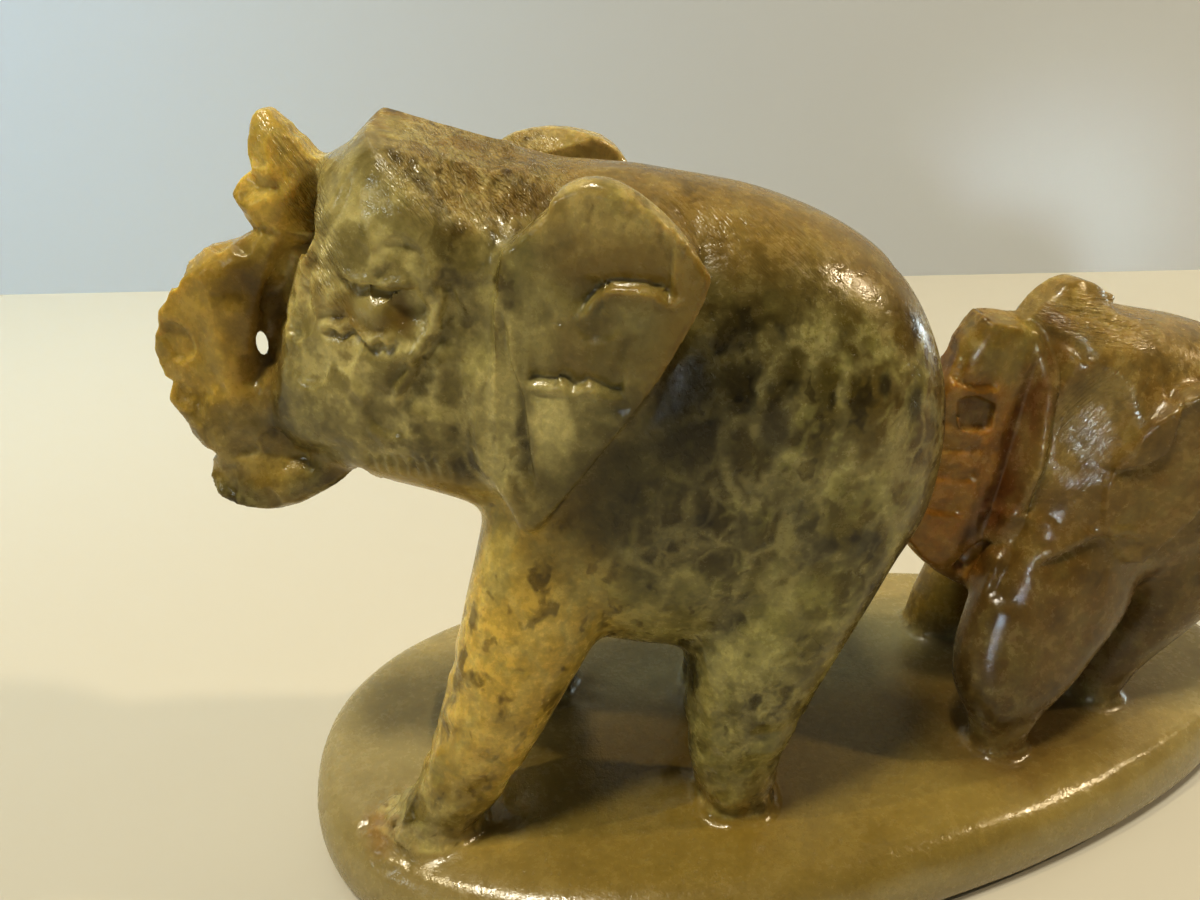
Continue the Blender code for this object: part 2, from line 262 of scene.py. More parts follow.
# A groove works as far as this many of its widths. Its steep wall has this share of its width, and
# the lip beyond that wall is this many widths away.
REACH = 3
STEEP = 0.5
LIP_PLACE = 1.8
# How far the flats of a chisel lean away from the surface.
CHISEL_LEAN = 0.17


class Clay:
    """The points of the carving in one figure's frame, worked by strokes."""

    def __init__(self, mesh, figure):
        self.mesh = mesh
        self.figure = figure
        self.points = figure.inward(read_points(mesh))
        self.normals = vertex_values(mesh, "normal") @ figure.rotation

    def done(self):
        """Gives the points back to the mesh."""
        write_points(self.mesh, self.figure.outward(self.points))

    def refresh(self):
        """Takes the normals anew after large strokes."""
        self.done()
        self.normals = vertex_values(self.mesh, "normal") @ self.figure.rotation

    def flank(self, side, slope=0.05):
        """How far each point belongs to the near or far flank."""
        return smoothstep(slope, slope + 0.2, side * self.normals[:, 1]) * (side * self.points[:, 1] > 0)

    def push(self, amount):
        """Moves the points inward along their normals."""
        self.points -= self.normals * amount[:, None]

    def groove(self, path, width, depth, side, ramp=0.0, raised=0.0, taper=0.18, straight=False):
        """A cut along x, z points. With a ramp, the wall to the left of the path falls gently to it.

        A straight cut goes towards the figure's middle, whichever way the surface faces."""
        curve = polyline(path)
        reach = max(width, ramp) * REACH
        lowest, highest = curve.min(axis=0) - reach, curve.max(axis=0) + reach
        flat = self.points[:, (0, 2)]
        inside = np.all((flat > lowest) & (flat < highest), axis=1) & (side * self.points[:, 1] > 0)
        index = np.nonzero(inside)[0]
        distance, hand, place = along(curve, flat[index])
        profile = np.exp(-(distance / width) ** 2)
        if ramp:
            steep = np.exp(-(distance / (width * STEEP)) ** 2)
            profile = np.where(hand > 0, np.exp(-distance / ramp), steep)
        ends = smoothstep(0, taper, place) * smoothstep(0, taper, 1 - place) if taper else 1.0
        weight = ends if straight else self.flank(side)[index] * ends
        amount = depth * profile * weight
        if raised:
            lip = np.exp(-((distance - width * LIP_PLACE) / width) ** 2) * (hand < 0)
            amount = amount - raised * lip * weight
        change = np.zeros(len(self.points))
        change[index] = amount
        if straight:
            self.points[:, 1] -= side * change
        else:
            self.push(change)

    def dent(self, centre, radii, depth):
        """A round hollow, or a boss when depth is negative."""
        self.push(depth * smoothstep(1, 0, oval(self.points, centre, radii)))

    def squeeze(self, centre, radii, keep):
        """Draws the points towards the upright line through a centre, within an oval region."""
        weight = smoothstep(1, 0.3, oval(self.points, centre, radii))
        offset = self.points[:, :2] - np.array(centre[:2])
        self.points[:, :2] -= offset * (1 - keep) * weight[:, None]

    def facet(self, origin, normal, centre, radii, soft=0.35):
        """Planes away what stands above a plane, within an oval region."""
        normal = np.array(normal, dtype=float)
        normal /= np.linalg.norm(normal)
        index = np.nonzero(np.abs(self.points[:, 0] - centre[0]) < radii[0])[0]
        points = self.points[index]
        above = np.maximum((points - np.array(origin)) @ normal, 0)
        weight = smoothstep(1, 1 - soft, oval(points, centre, radii))
        self.points[index] = points - normal * (above * weight)[:, None]

    def plane(self, side, origin, normal, centre, radii, soft=0.35):
        """A facet given for the far side, on this side."""
        self.facet(on_side(origin, side), on_side(normal, side), on_side(centre, side), radii, soft)

    def roughen(self, centre, radii, size, height, seed, weight=None):
        """Lumps left by a coarse tool, within an oval region. Three sizes, x, y, z, give long marks."""
        if weight is None:
            weight = smoothstep(1, 0.6, oval(self.points, centre, radii))
        scaled = self.points / np.array(size) + np.array((7.3, 3.1, 5.7)) * seed
        amount = np.zeros(len(self.points))
        for i in np.nonzero(weight > 0)[0]:
            amount[i] = noise.noise(scaled[i])
        self.push(height * amount * weight)

    def chisel(self, centre, radii, count, size, depth, seed):
        """Small flats left by a chisel, at scattered places within an oval region."""
        draw = random.Random(seed)
        inside = np.nonzero(oval(self.points, centre, radii) < 1)[0]
        for _ in range(count):
            i = inside[draw.randrange(len(inside))]
            point, normal = self.points[i].copy(), self.normals[i]
            lean = np.array([draw.uniform(-CHISEL_LEAN, CHISEL_LEAN) for _ in range(3)])
            self.facet(point - normal * depth, normal + lean, point, (size, size, size), 0.25)

    def over_triangle(self, corners, thick=1.0, margin=0.06):
        """How far each point lies on a triangle."""
        a, b, c = np.array(corners, dtype=float)
        normal = np.cross(b - a, c - a)
        area = normal @ normal
        offset = self.points - a
        v = np.cross(offset, c - a) @ normal / area
        w = np.cross(b - a, offset) @ normal / area
        least = np.minimum(np.minimum(v, w), 1 - v - w)
        away = np.abs(offset @ normal) / math.sqrt(area)
        return smoothstep(0, margin, least) * (away < thick)


# -------------------- the solids that are crisp

# The three-cornered floors of the wedges filed between head and ears: two upper corners and a lower.
V_FLOOR = ((-17.4, 7.6, 70.3), (-2.4, 6.4, 68.2), (-7.7, 12.4, 63.4))
FAR_V_FLOOR = ((-20, 7.6, 71), (-9, 6.4, 69.2), (-12.6, 12.4, 63.4))
WEDGE_OUT = 7.0
WEDGE_UP = 4.0
# Ears: outline of the outer face, x and z, from the front of the top round to the front of the tip.
MOTHER_EAR = (
    (-7.6, 64.2), (-5.9, 66.2), (-3.6, 67.8), (-1.2, 68.6), (1.2, 68.2), (3.8, 66.8), (6, 64.9),
    (7.8, 62.4), (7.4, 60.6), (6.2, 58), (4.2, 54), (1.1, 49.4), (-1.5, 45.4), (-4.6, 41.2),
    (-6.4, 39), (-7.4, 40), (-8.8, 45), (-9.2, 50), (-9.2, 57),
)
# The far ear lies forward of the near one, and its top is rounder.
FAR_EAR_SHIFT = -2.5
FAR_EAR_TOP = (
    (-10.7, 64), (-10.2, 66.4), (-8.5, 68.4), (-7.5, 68.9), (-5.7, 69.3), (-3.6, 69.5), (-1.1, 69.2),
    (1.5, 68.5), (3.1, 67.5), (4.3, 66),
)
FAR_EAR = FAR_EAR_TOP + tuple((x + FAR_EAR_SHIFT, z) for x, z in MOTHER_EAR[7:])
CALF_EAR = (
    (-2.2, 38), (0.6, 42), (4, 45), (7.2, 47), (10.4, 47), (12, 44.6), (12, 42),
    (10.4, 38), (8.4, 33.4), (7.1, 30.6), (5.6, 28), (3.4, 24.9), (1.8, 25), (-0.2, 27),
    (-1.8, 30), (-2.6, 34),
)
# The ear face's distance from the figure's middle at x = 0, and its gain for each millimetre back.
MOTHER_EAR_TILT = (16.7, 0.27)
CALF_EAR_TILT = (12, 0.3)
EAR_DEPTH = 2.8
FAR_EAR_DEPTH = 5.0
# The side outline from the lip's notch up the trunk and over the head: x, z.
OUTLINE = (
    (-34.7, 42.6), (-36.6, 41.6), (-37.6, 42.6), (-38.8, 43.9), (-39, 45.5), (-39.6, 45.8), (-40.3, 46.9),
    (-39.8, 48.3), (-40.4, 49.1), (-40.9, 50.9), (-40.8, 52), (-40.5, 53.3), (-39.8, 54.2), (-39.5, 55.6),
    (-38.6, 56.6), (-38.1, 58.1), (-37.2, 58.7), (-36.6, 59.8), (-35.7, 60.2), (-34.7, 61.1), (-33.7, 61),
    (-32.3, 61.3), (-31.2, 62.1), (-29.9, 62.7), (-30.9, 64.6), (-31.2, 65.8), (-30.4, 67.2), (-29.1, 68.1),
    (-29.3, 69.7), (-28.8, 71.9), (-28.2, 72.6), (-27.7, 72.8), (-27, 72.4), (-26.6, 71.7), (-26, 71.6),
    (-25.6, 70.5), (-24.9, 70.2), (-24.3, 69), (-23.4, 68.7), (-21.6, 69.6), (-20.1, 70.5), (-19, 71.8),
    (-17.9, 72.7), (-15.5, 72.3), (-12.9, 71.6), (-10.5, 70.8), (-8.6, 70.3), (-7, 70.1),
)
OUTLINE_INSIDE = ((-12, 66), (-22, 64), (-26.5, 59), (-30, 52), (-31.5, 47), (-33.4, 43.6))
OUTLINE_OUTSIDE = ((-7, 80), (-50, 80), (-50, 42.2))
# The edge of the lip and jaw from below.
JAW = (
    (-35.6, 42.6), (-37.2, 41), (-37.4, 39.4), (-36.4, 38), (-34, 36.9), (-31, 36.2), (-28.8, 36.8),
    (-27.4, 37.6), (-26.1, 38.4), (-24.9, 39.2), (-24.1, 39.9), (-22.9, 41.3), (-21.7, 42.6), (-21.1, 40.9),
    (-20.5, 40.2), (-19.9, 41.2), (-19.3, 40.6), (-17.7, 39.8), (-15.5, 39.5),
)
JAW_OUTSIDE = ((-15.5, 34), (-46, 34), (-46, 42.8))
# The calf's outline up the trunk, over the knob and its hooked tip.
CALF_OUTLINE = (
    (-18.2, 23.6), (-19, 25.6), (-19.4, 30), (-19.3, 36), (-18.7, 40.5), (-17.9, 43.4), (-17.4, 43.9),
    (-17.1, 44.5), (-16.1, 47.2), (-16.1, 48.3), (-14.9, 49.8), (-13.7, 51.6), (-12.9, 51.9), (-11, 51.5),
    (-9.4, 50.9), (-8, 50.9), (-7.4, 51.9), (-6.4, 52.9), (-4.9, 54.1), (-3.2, 54.4), (-1.1, 53.8),
    (0.7, 52.7), (1.9, 52.3), (1.7, 51.8), (0.5, 51), (1.6, 50.6), (4.2, 50.3), (8.5, 49.6),
)
CALF_OUTLINE_INSIDE = ((8.5, 46), (0, 46), (-9, 44), (-13, 36), (-14, 28))
CALF_OUTLINE_OUTSIDE = ((8.5, 62), (-30, 62), (-30, 23.6))
# The square hollow cut in the calf's trunk: x and z, and the y of its mouth and its floor.
CALF_HOLLOW = ((-16.8, 42.8), (-14.4, 43), (-12, 41.9), (-12, 38.6), (-15.6, 39))
HOLLOW_MOUTH = 6.0
HOLLOW_FLOOR = 2.3
HOLLOW_SAG = 0.3
# Half the thickness of the plates that fill an outline, and of the cuts that trim to it.
PLATE_HALF = 1.5
TRIM_HALF = 9.0
# The hole between the large elephant's trunk and face: middle, way, radii and half its length.
HOLE = (-30.3, -3.2, 52.9)
HOLE_WAY = (-0.30, 0.90, -0.31)
HOLE_RADII = (0.55, 1.15)
HOLE_REACH = 12.0
HOLE_SIDES = 12
# Cell sizes, in millimetres, and rounds of smoothing for the stone, the blocks and the final skin.
STONE_CELL = 0.45
STONE_ROUNDS = 14
BLOCK_CELL = 0.35
SKIN_CELL = 0.32
SKIN_ROUNDS = 2
TRIANGLES = 195000


def on_side(point, side):
    """A point or a direction given for the far side, on this side."""
    x, y, z = point
    return (x, side * y, z)


def ear_outline(outline, tilt):
    """The outline's points on the leaning face of the ear."""
    return [(x, tilt[0] + tilt[1] * x, z) for x, z in outline]


def wedge(figure, floor, side):
    """The block of air over a three-cornered filed floor."""
    left, right, low = [np.array(on_side(corner, side)) for corner in floor]
    away = np.array((0, side * WEDGE_OUT, 0))
    above = np.array((0, 0, WEDGE_UP))
    points = [left, right, low, left + away, right + away, low + away]
    points += [left + above, right + above, left + away + above, right + away + above]
    return hull(figure, points)


def pierce(figure, centre, way, radii, reach):
    """An oval drill through a centre, along a way."""
    way = Vector(way).normalized()
    across = way.cross(Vector((0, 0, 1))).normalized()
    rise = across.cross(way)
    points = []
    for k in range(HOLE_SIDES):
        angle = k * math.tau / HOLE_SIDES
        rim = across * (radii[0] * math.cos(angle)) + rise * (radii[1] * math.sin(angle))
        points += [Vector(centre) + rim - way * reach, Vector(centre) + rim + way * reach]
    return hull(figure, points)


def slice_of(figure, outline, half):
    """A flat slab of stone, or of air, with this side outline."""
    bm = bmesh.new()
    face = bm.faces.new([bm.verts.new((x, -half, z)) for x, z in outline])
    extruded = bmesh.ops.extrude_face_region(bm, geom=[face])
    moved = [v for v in extruded["geom"] if isinstance(v, bmesh.types.BMVert)]
    bmesh.ops.translate(bm, verts=moved, vec=(0, 2 * half, 0))
    bmesh.ops.triangulate(bm, faces=bm.faces)
    bmesh.ops.recalc_face_normals(bm, faces=bm.faces)
    return mesh_object("slice", bm, figure)


def carve_blocks(obj):
    """The facets that are wide enough to be solids: ears, filed wedges and the trunk's outline."""
    added = [
        obj,
        slice_of(MOTHER, OUTLINE + OUTLINE_INSIDE, PLATE_HALF),
        slice_of(CALF, CALF_OUTLINE + CALF_OUTLINE_INSIDE, PLATE_HALF),
    ]
    cutters = [
        slice_of(MOTHER, OUTLINE + OUTLINE_OUTSIDE, TRIM_HALF),
        slice_of(MOTHER, JAW + JAW_OUTSIDE, TRIM_HALF),
        slice_of(CALF, CALF_OUTLINE + CALF_OUTLINE_OUTSIDE, TRIM_HALF),
        wedge(MOTHER, V_FLOOR, NEAR),
        wedge(MOTHER, FAR_V_FLOOR, FAR),
    ]
    for side, outline, depth in ((NEAR, MOTHER_EAR, EAR_DEPTH), (FAR, FAR_EAR, FAR_EAR_DEPTH)):
        added.append(blade(MOTHER, ear_outline(outline, MOTHER_EAR_TILT), depth, side))
        added.append(blade(CALF, ear_outline(CALF_EAR, CALF_EAR_TILT), EAR_DEPTH, side))
        mouth = [(x, side * HOLLOW_MOUTH, z) for x, z in CALF_HOLLOW]
        floor = [(x, side * HOLLOW_FLOOR, z - HOLLOW_SAG) for x, z in CALF_HOLLOW]
        cutters.append(hull(CALF, mouth + floor))
    obj = voxels(joined(added, "stone"), BLOCK_CELL)
    return cut(obj, cutters)


def smooth_stone():
    """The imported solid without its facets."""
    bm = bmesh.new()
    bm.from_mesh(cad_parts[NODE].data)
    bmesh.ops.remove_doubles(bm, verts=bm.verts, dist=1e-6)
    obj = object_of("stone", bm)
    finer = obj.modifiers.new("Finer", "SUBSURF")
    finer.levels = finer.render_levels = 1
    voxels(settled(obj), STONE_CELL)
    smooth_surface(obj.data, STONE_ROUNDS)
    return obj


# -------------------- the strokes

# Paths of the strokes on the large elephant, x and z.
EAR_REAR = (
    (5.2, 66.2), (7.2, 64.2), (8.3, 62.4), (7.9, 60.4), (6.7, 57.8), (4.7, 53.8), (1.6, 49.1),
    (-1, 45.1), (-4.1, 40.9), (-6, 38.4),
)
UPPER_LID = (
    (-21.7, 60.8), (-20.6, 60.3), (-19.6, 60), (-18.6, 60.1), (-17.5, 59.7), (-16.2, 60),
    (-15.2, 59.9), (-14.2, 60.2),
)
LOWER_LID = (
    (-23.8, 55.5), (-22.7, 55.9), (-21.6, 55.7), (-20.6, 56.3), (-19.8, 55.5), (-18.9, 55), (-18.2, 55.5),
    (-17.6, 55.2), (-16.4, 55.9),
)
CHEEK_EDGE = (
    (-12.2, 62.6), (-12.3, 62.1), (-12.7, 60.9), (-12.2, 59.4), (-13.1, 57.2), (-13.6, 56),
    (-14.9, 54.3), (-15.2, 53), (-16.6, 50.8), (-17.2, 48.6),
)
TEMPLE_EDGE = (
    (-17, 70.5), (-19.1, 68.7), (-20.7, 65.6), (-22.6, 63.4), (-24.4, 59.5), (-26, 55.3), (-27.5, 51),
)
MOUTH_LINE = ((-35.4, 42.4), (-32.4, 42.7), (-29.5, 42.2), (-26.4, 42.8), (-23.4, 44.4), (-21.6, 45.6))
EAR_FRONT = ((-10.2, 62), (-11, 59), (-11.6, 55), (-12.4, 51), (-12.2, 46), (-10.6, 41.5))
UPPER_CRESCENT = (
    (-2.6, 58.6), (-1.8, 59.6), (-0.8, 60.8), (0.4, 61.6), (2.2, 61.6), (3.8, 61.4), (4.8, 60.8),
    (5.8, 61.4),
)
LOWER_CRESCENT = (
    (-6.2, 53.4), (-4.5, 53.3), (-3.2, 53.7), (-2.5, 53.1), (-1.3, 53.6), (0.2, 52.9), (1.6, 52.7),
)
EAR_GROOVE = (
    (-5.8, 43.2), (-6.3, 46), (-6.5, 48.6), (-6.8, 51.8), (-7.7, 54.6), (-7.9, 57.4), (-8.1, 59.3),
)
EAR_FOLD = ((-9.7, 56), (-10.1, 53.6), (-10.4, 50.8), (-10.3, 46.3), (-9.4, 43.2), (-8.2, 39.9))


# The eye: its socket, the raised ball, and the hollows behind and before it: centre, radii, depth.
EYE = (
    ((-18.6, 11.6, 57.9), (5, 5, 3.6), 0.5),
    ((-18.4, 11.6, 58), (2.2, 4, 2), -0.8),
    ((-15.6, 11.6, 57.8), (1.5, 4, 1.9), 0.35),
    ((-21.4, 11.6, 57.8), (1.4, 4, 2), 0.3),
)
LIDS = ((UPPER_LID, 0.75), (LOWER_LID, 0.7))
# Planes filed on the trunk: a point on the plane, its direction, and the oval it works in.
TRUNK_PLANES = (
    ((-28.6, 2.4, 70), (-0.45, 0.85, 0.1), (-29.5, 2.5, 69.5), (4, 4, 5)),
    ((-26.8, 2.9, 69), (0.35, 0.9, 0.2), (-25.4, 3, 68.5), (3, 4, 4)),
    ((-35.5, 3.3, 54), (-0.35, 0.93, 0.05), (-38, 3, 53.5), (6, 4, 9)),
)
TRUNK_DENTS = (
    ((-31.6, 3.6, 57.9), (2.4, 2.4, 2.4), 0.6),
    ((-36.6, 3.6, 51.5), (2, 2, 3), 0.3),
)
# The hook under the trunk's tip, and the trunk's border with the face: path, width, depth.
TRUNK_GROOVES = (
    (((-30.6, 68.2), (-28.6, 66.6), (-26.2, 66.8)), 0.6, 0.5),
    (((-23.6, 68.6), (-24.6, 65.6), (-26, 62.6), (-27.2, 59.6), (-29, 56), (-30.4, 51.6),
      (-32, 48)), 0.9, 1.3),
)
# The planes of the crown, one for each side, and the plane on the far ear's top.
CROWN_PLANE = ((-17.9, 0, 72.7), (0.267, 0.26, 0.928), (-14, 4, 71), (10, 7.5, 5))
FAR_EAR_PLANE = ((-3, 12.4, 68.9), (0, -0.62, 0.78), (-3.5, 11, 68), (9, 4, 3.4), 0.2)
# Chiselled parts: centre, radii, count of flats, their size and depth, seed.
CHISELLED = (
    ((-19, 0, 56), (8, 20, 13), 90, 2.6, 0.1, 21),
    ((-1, 0, 56), (6, 24, 9), 24, 2, 0.06, 22),
    ((-34, 0, 54), (12, 9, 22), 110, 1.7, 0.1, 23),
)
# Rough parts: centre, radii, size and height of the lumps, seed.
ROUGH_HEAD = (
    ((-16, 0, 56), (14, 20, 18), 3.4, 0.22, 1),
    ((-34, 0, 54), (12, 8, 22), 2.2, 0.28, 2),
)
ROUGH_LEGS = (
    ((-16, -10, 10), (12, 9, 19), 2.6, 0.5, 5),
    ((14, -9, 10), (12, 9, 19), 2.6, 0.5, 6),
    ((-6, 10, 10), (12, 9, 19), 2.6, 0.5, 7),
    ((16, 9, 10), (12, 9, 19), 2.6, 0.5, 8),
    ((-22, -11, 1), (6, 7, 4.5), 1.5, 0.6, 9),
)
# Long marks on the floor of the filed wedge: their sizes along x, y, z, height and seed.
WEDGE_MARKS = ((0.75, 1.6, 2.6), 0.5, 3)
# Nicks under the jaw: their count, the first one's x, their distance and their ends' z.
NICKS = 9
NICK_START = -20.6
NICK_STEP = 0.98
NICK_ENDS = (45.4, 42)
# The sides of the large elephant: the ear's shift, and how strongly face and ear are cut.
MOTHER_SIDES = ((NEAR, 0, 1, 1), (FAR, FAR_EAR_SHIFT, 0.8, 0.7))
# The same for the calf's head.
CALF_SIDES = ((NEAR, 1), (FAR, 0.7))


def carve_face(clay, side, strength):
    """Eye, cheek, temple edge and mouth of the large elephant."""
    for centre, radii, depth in EYE:
        clay.dent(on_side(centre, side), radii, depth * strength)
    for lid, depth in LIDS:
        clay.groove(list(reversed(lid)), 0.3, depth * strength, side, ramp=0.6, raised=0.3, taper=0.1)
    clay.groove(CHEEK_EDGE, 0.35, 0.6 * strength, side, ramp=2.4, raised=0.3)
    clay.groove(TEMPLE_EDGE, 0.9, 0.4 * strength, side, ramp=3.4)
    clay.groove(MOUTH_LINE, 1.0, 0.45 * strength, side)


def carve_ear(clay, side, shift, strength):
    """The folds of the large elephant's ear."""
    def moved(path):
        return [(x + shift, z) for x, z in path]

    clay.groove(moved(EAR_FRONT), 1.5, 0.55 * strength, side, taper=0.3)
    clay.groove(moved(EAR_FOLD), 1.0, -0.75 * strength, side, taper=0.3)
    clay.groove(moved(UPPER_CRESCENT), 0.3, 1.1 * strength, side, ramp=2.0, raised=0.3)
    clay.groove(moved(LOWER_CRESCENT), 0.3, 0.85 * strength, side, ramp=1.8, raised=0.3, taper=0.05)
    clay.groove(moved(EAR_GROOVE), 0.4, 0.8 * strength, side, ramp=1.4, raised=0.2, taper=0.15)


def carve_trunk(clay):
    """The raised trunk of the large elephant, planed on its flanks."""
    for side in (NEAR, FAR):
        for row in TRUNK_PLANES:
            clay.plane(side, *row)
        for centre, radii, depth in TRUNK_DENTS:
            clay.dent(on_side(centre, side), radii, depth)
        for path, width, depth in TRUNK_GROOVES:
            clay.groove(path, width, depth, side)


def carve_jaw(clay, side):
    """Nicks of the file under the jaw."""
    top, bottom = NICK_ENDS
    for k in range(NICKS):
        x = NICK_START + k * NICK_STEP
        clay.groove(((x, top), (x + 0.25, bottom)), 0.28, 0.32, side, taper=0.4)


def carve_crown(clay):
    """The grooves behind the ears, the planes of the crown and the far ear's top."""
    for side, shift, _, _ in MOTHER_SIDES:
        rear = [(x + shift, z) for x, z in EAR_REAR]
        clay.groove(rear, 0.5, 1.5, side, ramp=3.2, taper=0.1, straight=True)
        clay.plane(side, *CROWN_PLANE)
    clay.facet(*FAR_EAR_PLANE)


def carve_mother(obj):
    """Every stroke on the large elephant, the broad ones first."""
    clay = Clay(obj.data, MOTHER)
    carve_trunk(clay)
    carve_crown(clay)
    clay.refresh()
    for row in CHISELLED:
        clay.chisel(*row)
    clay.refresh()
    for side, shift, face, folds in MOTHER_SIDES:
        carve_face(clay, side, face)
        carve_ear(clay, side, shift, folds)
        carve_jaw(clay, side)
    for row in ROUGH_HEAD:
        clay.roughen(*row)
    for side in (NEAR, FAR):
        floor = [on_side(corner, side) for corner in V_FLOOR]
        clay.roughen(None, None, *WEDGE_MARKS, clay.over_triangle(floor))
    for row in ROUGH_LEGS:
        clay.roughen(*row)
    clay.done()


# Paths of the strokes on the calf, x and z.
CALF_TRUNK_EDGE = (
    (-7.8, 50.5), (-7.6, 44.7), (-7.3, 38.1), (-8.1, 32.2), (-9.6, 26.5), (-11.6, 22.8), (-13.2, 20),
)
CALF_EAR_REAR = (
    (10.8, 47.6), (12.5, 44.8), (12.4, 41.9), (10.8, 37.8), (8.7, 33.2), (7.4, 30.4), (5.9, 27.8),
    (3.6, 24.6),
)
CALF_JAW = (
    (3.6, 26.6), (0.7, 28.1), (-2.6, 26.9), (-4.8, 25.8), (-7.1, 24.4), (-8.2, 22.4),
)
CALF_CHEEK_EDGE = ((2.7, 46), (2.9, 43.2), (2.9, 39.3), (1.8, 37.5), (-0.5, 36.4), (-3.6, 35.5))
CALF_CHEEK_RIDGE = ((-12, 28.6), (-9.9, 28.8), (-7.5, 29), (-5.6, 28.8))
CALF_BROW = ((-10.3, 51.2), (-7.1, 49.4), (-3.7, 47.1))
# The steps cut across the trunk: path, depth, ramp.
CALF_STEPS = (
    (((-18.2, 45.4), (-14.9, 43.7), (-12.2, 43.9)), 0.9, 2.2),
    (((-18.6, 36.6), (-15, 36), (-12.4, 36.4)), 0.5, 1.6),
    (((-18.4, 33), (-15, 32.4), (-12.6, 32.8)), 0.5, 1.6),
    (((-18.6, 28.9), (-15.4, 28), (-13.4, 28.4)), 0.5, 1.6),
)


# Planes: a point on the plane, its direction, and the oval it works in.
CALF_TRUNK_PLANES = (
    ((-12.4, 3.8, 36), (-0.34, 0.94, -0.02), (-16.5, 2.5, 36), (7, 5, 20)),
    ((-12.4, 3.8, 36), (0.1, 0.99, 0), (-10, 4, 37), (3.4, 4, 17)),
)
CALF_TOP_PLANE = ((-9.5, -2, 50.2), (0.1, -0.12, 1), (-11, 0, 50.6), (3.6, 5, 4))
CHEEK_PLANE = ((-4.6, 7.6, 38), (-0.56, 0.78, 0.29), (-3.8, 8, 39.5), (5, 6, 8), 0.6)
# The narrow foot of the near front leg: centre, radii, and the width that is kept.
CALF_FOOT = ((-8.2, -11.2, 0.5), (13, 11, 11), 0.66)
# The boss at the root of the trunk, for the far side: centre, radii, depth.
CALF_CHIN = ((-9.9, 4.4, 20), (3.4, 3, 2.8), -1)
# Nicks of the file beside the knob: their count, distance and fall.
CALF_NICKS = 6
CALF_NICK_STEP = 0.9
CALF_ROUGH = (
    ((-8, 0, 36), (12, 16, 22), 5, 0.25, 11),
    ((-14.5, 0, 36), (6, 5, 16), 1.6, 0.22, 12),
    ((-9, -11, 2), (8, 7, 8), 2.6, 0.2, 13),
)


def carve_calf_trunk(clay, side):
    """The flat bar of the calf's trunk: a face towards the front, one towards the cheek, and steps."""
    for row in CALF_TRUNK_PLANES:
        clay.plane(side, *row)
    for path, depth, ramp in CALF_STEPS:
        clay.groove(path, 0.3, depth, side, ramp=ramp, taper=0.08)


def carve_calf_head(clay, side, strength):
    """The calf's planed cheek, the edges round it, its jaw and brow."""
    clay.plane(side, *CHEEK_PLANE)
    clay.groove(CALF_TRUNK_EDGE, 0.4, 1.5 * strength, side, ramp=2.2, taper=0.06)
    clay.groove(CALF_JAW, 0.6, 0.8 * strength, side, ramp=3.0, raised=0.3, taper=0.3)
    clay.groove(CALF_CHEEK_EDGE, 0.5, 1.0 * strength, side, ramp=3.0, taper=0.25)
    clay.groove(CALF_CHEEK_RIDGE, 0.7, -0.35 * strength, side)
    clay.groove(CALF_BROW, 0.5, 0.35 * strength, side)
    centre, radii, depth = CALF_CHIN
    clay.dent(on_side(centre, side), radii, depth * strength)
    for k in range(CALF_NICKS):
        x = k * CALF_NICK_STEP
        clay.groove(((-6.6 + x, 51.6 - k * 0.32), (-2.6 + x, 51.8 - k * 0.36)), 0.25, 0.25, side)


def carve_calf(obj):
    """Every stroke on the calf, the broad ones first."""
    clay = Clay(obj.data, CALF)
    for side in (NEAR, FAR):
        carve_calf_trunk(clay, side)
        clay.groove(CALF_EAR_REAR, 0.5, 2.0, side, ramp=3.4, taper=0.1, straight=True)
    clay.facet(*CALF_TOP_PLANE)
    clay.squeeze(*CALF_FOOT)
    clay.refresh()
    for side, strength in CALF_SIDES:
        carve_calf_head(clay, side, strength)
    for row in CALF_ROUGH:
        clay.roughen(*row)
    clay.done()


def triangle_count(mesh):
    return sum(len(polygon.vertices) - 2 for polygon in mesh.polygons)


def build_carving():
    """The finished stone as one mesh."""
    obj = carve_blocks(smooth_stone())
    obj = voxels(obj, SKIN_CELL)
    smooth_surface(obj.data, SKIN_ROUNDS)
    carve_mother(obj)
    carve_calf(obj)
    cut(obj, [pierce(MOTHER, HOLE, HOLE_WAY, HOLE_RADII, HOLE_REACH)])
    fewer = obj.modifiers.new("Fewer", "DECIMATE")
    fewer.ratio = TRIANGLES / triangle_count(obj.data)
    return settled(obj)


# -------------------- material

# The view's gamma, the brightness of the studio, and what its light leaves of red, green and blue.
CONTRAST = 0.8
STUDIO = 0.9
SKY = (1, 0.99, 0.7)


def linear(value):
    """A screen value from 0 to 255 as light from 0 to 1."""
    value /= 255
    return value / 12.92 if value < 0.04 else ((value + 0.055) / 1.055) ** 2.4


def shown(*values):
    """A shader's colour for stone that should look like this on the screen: red, green, blue."""
    return tuple(linear(value) ** CONTRAST * gain / STUDIO for value, gain in zip(values, SKY)) + (1,)


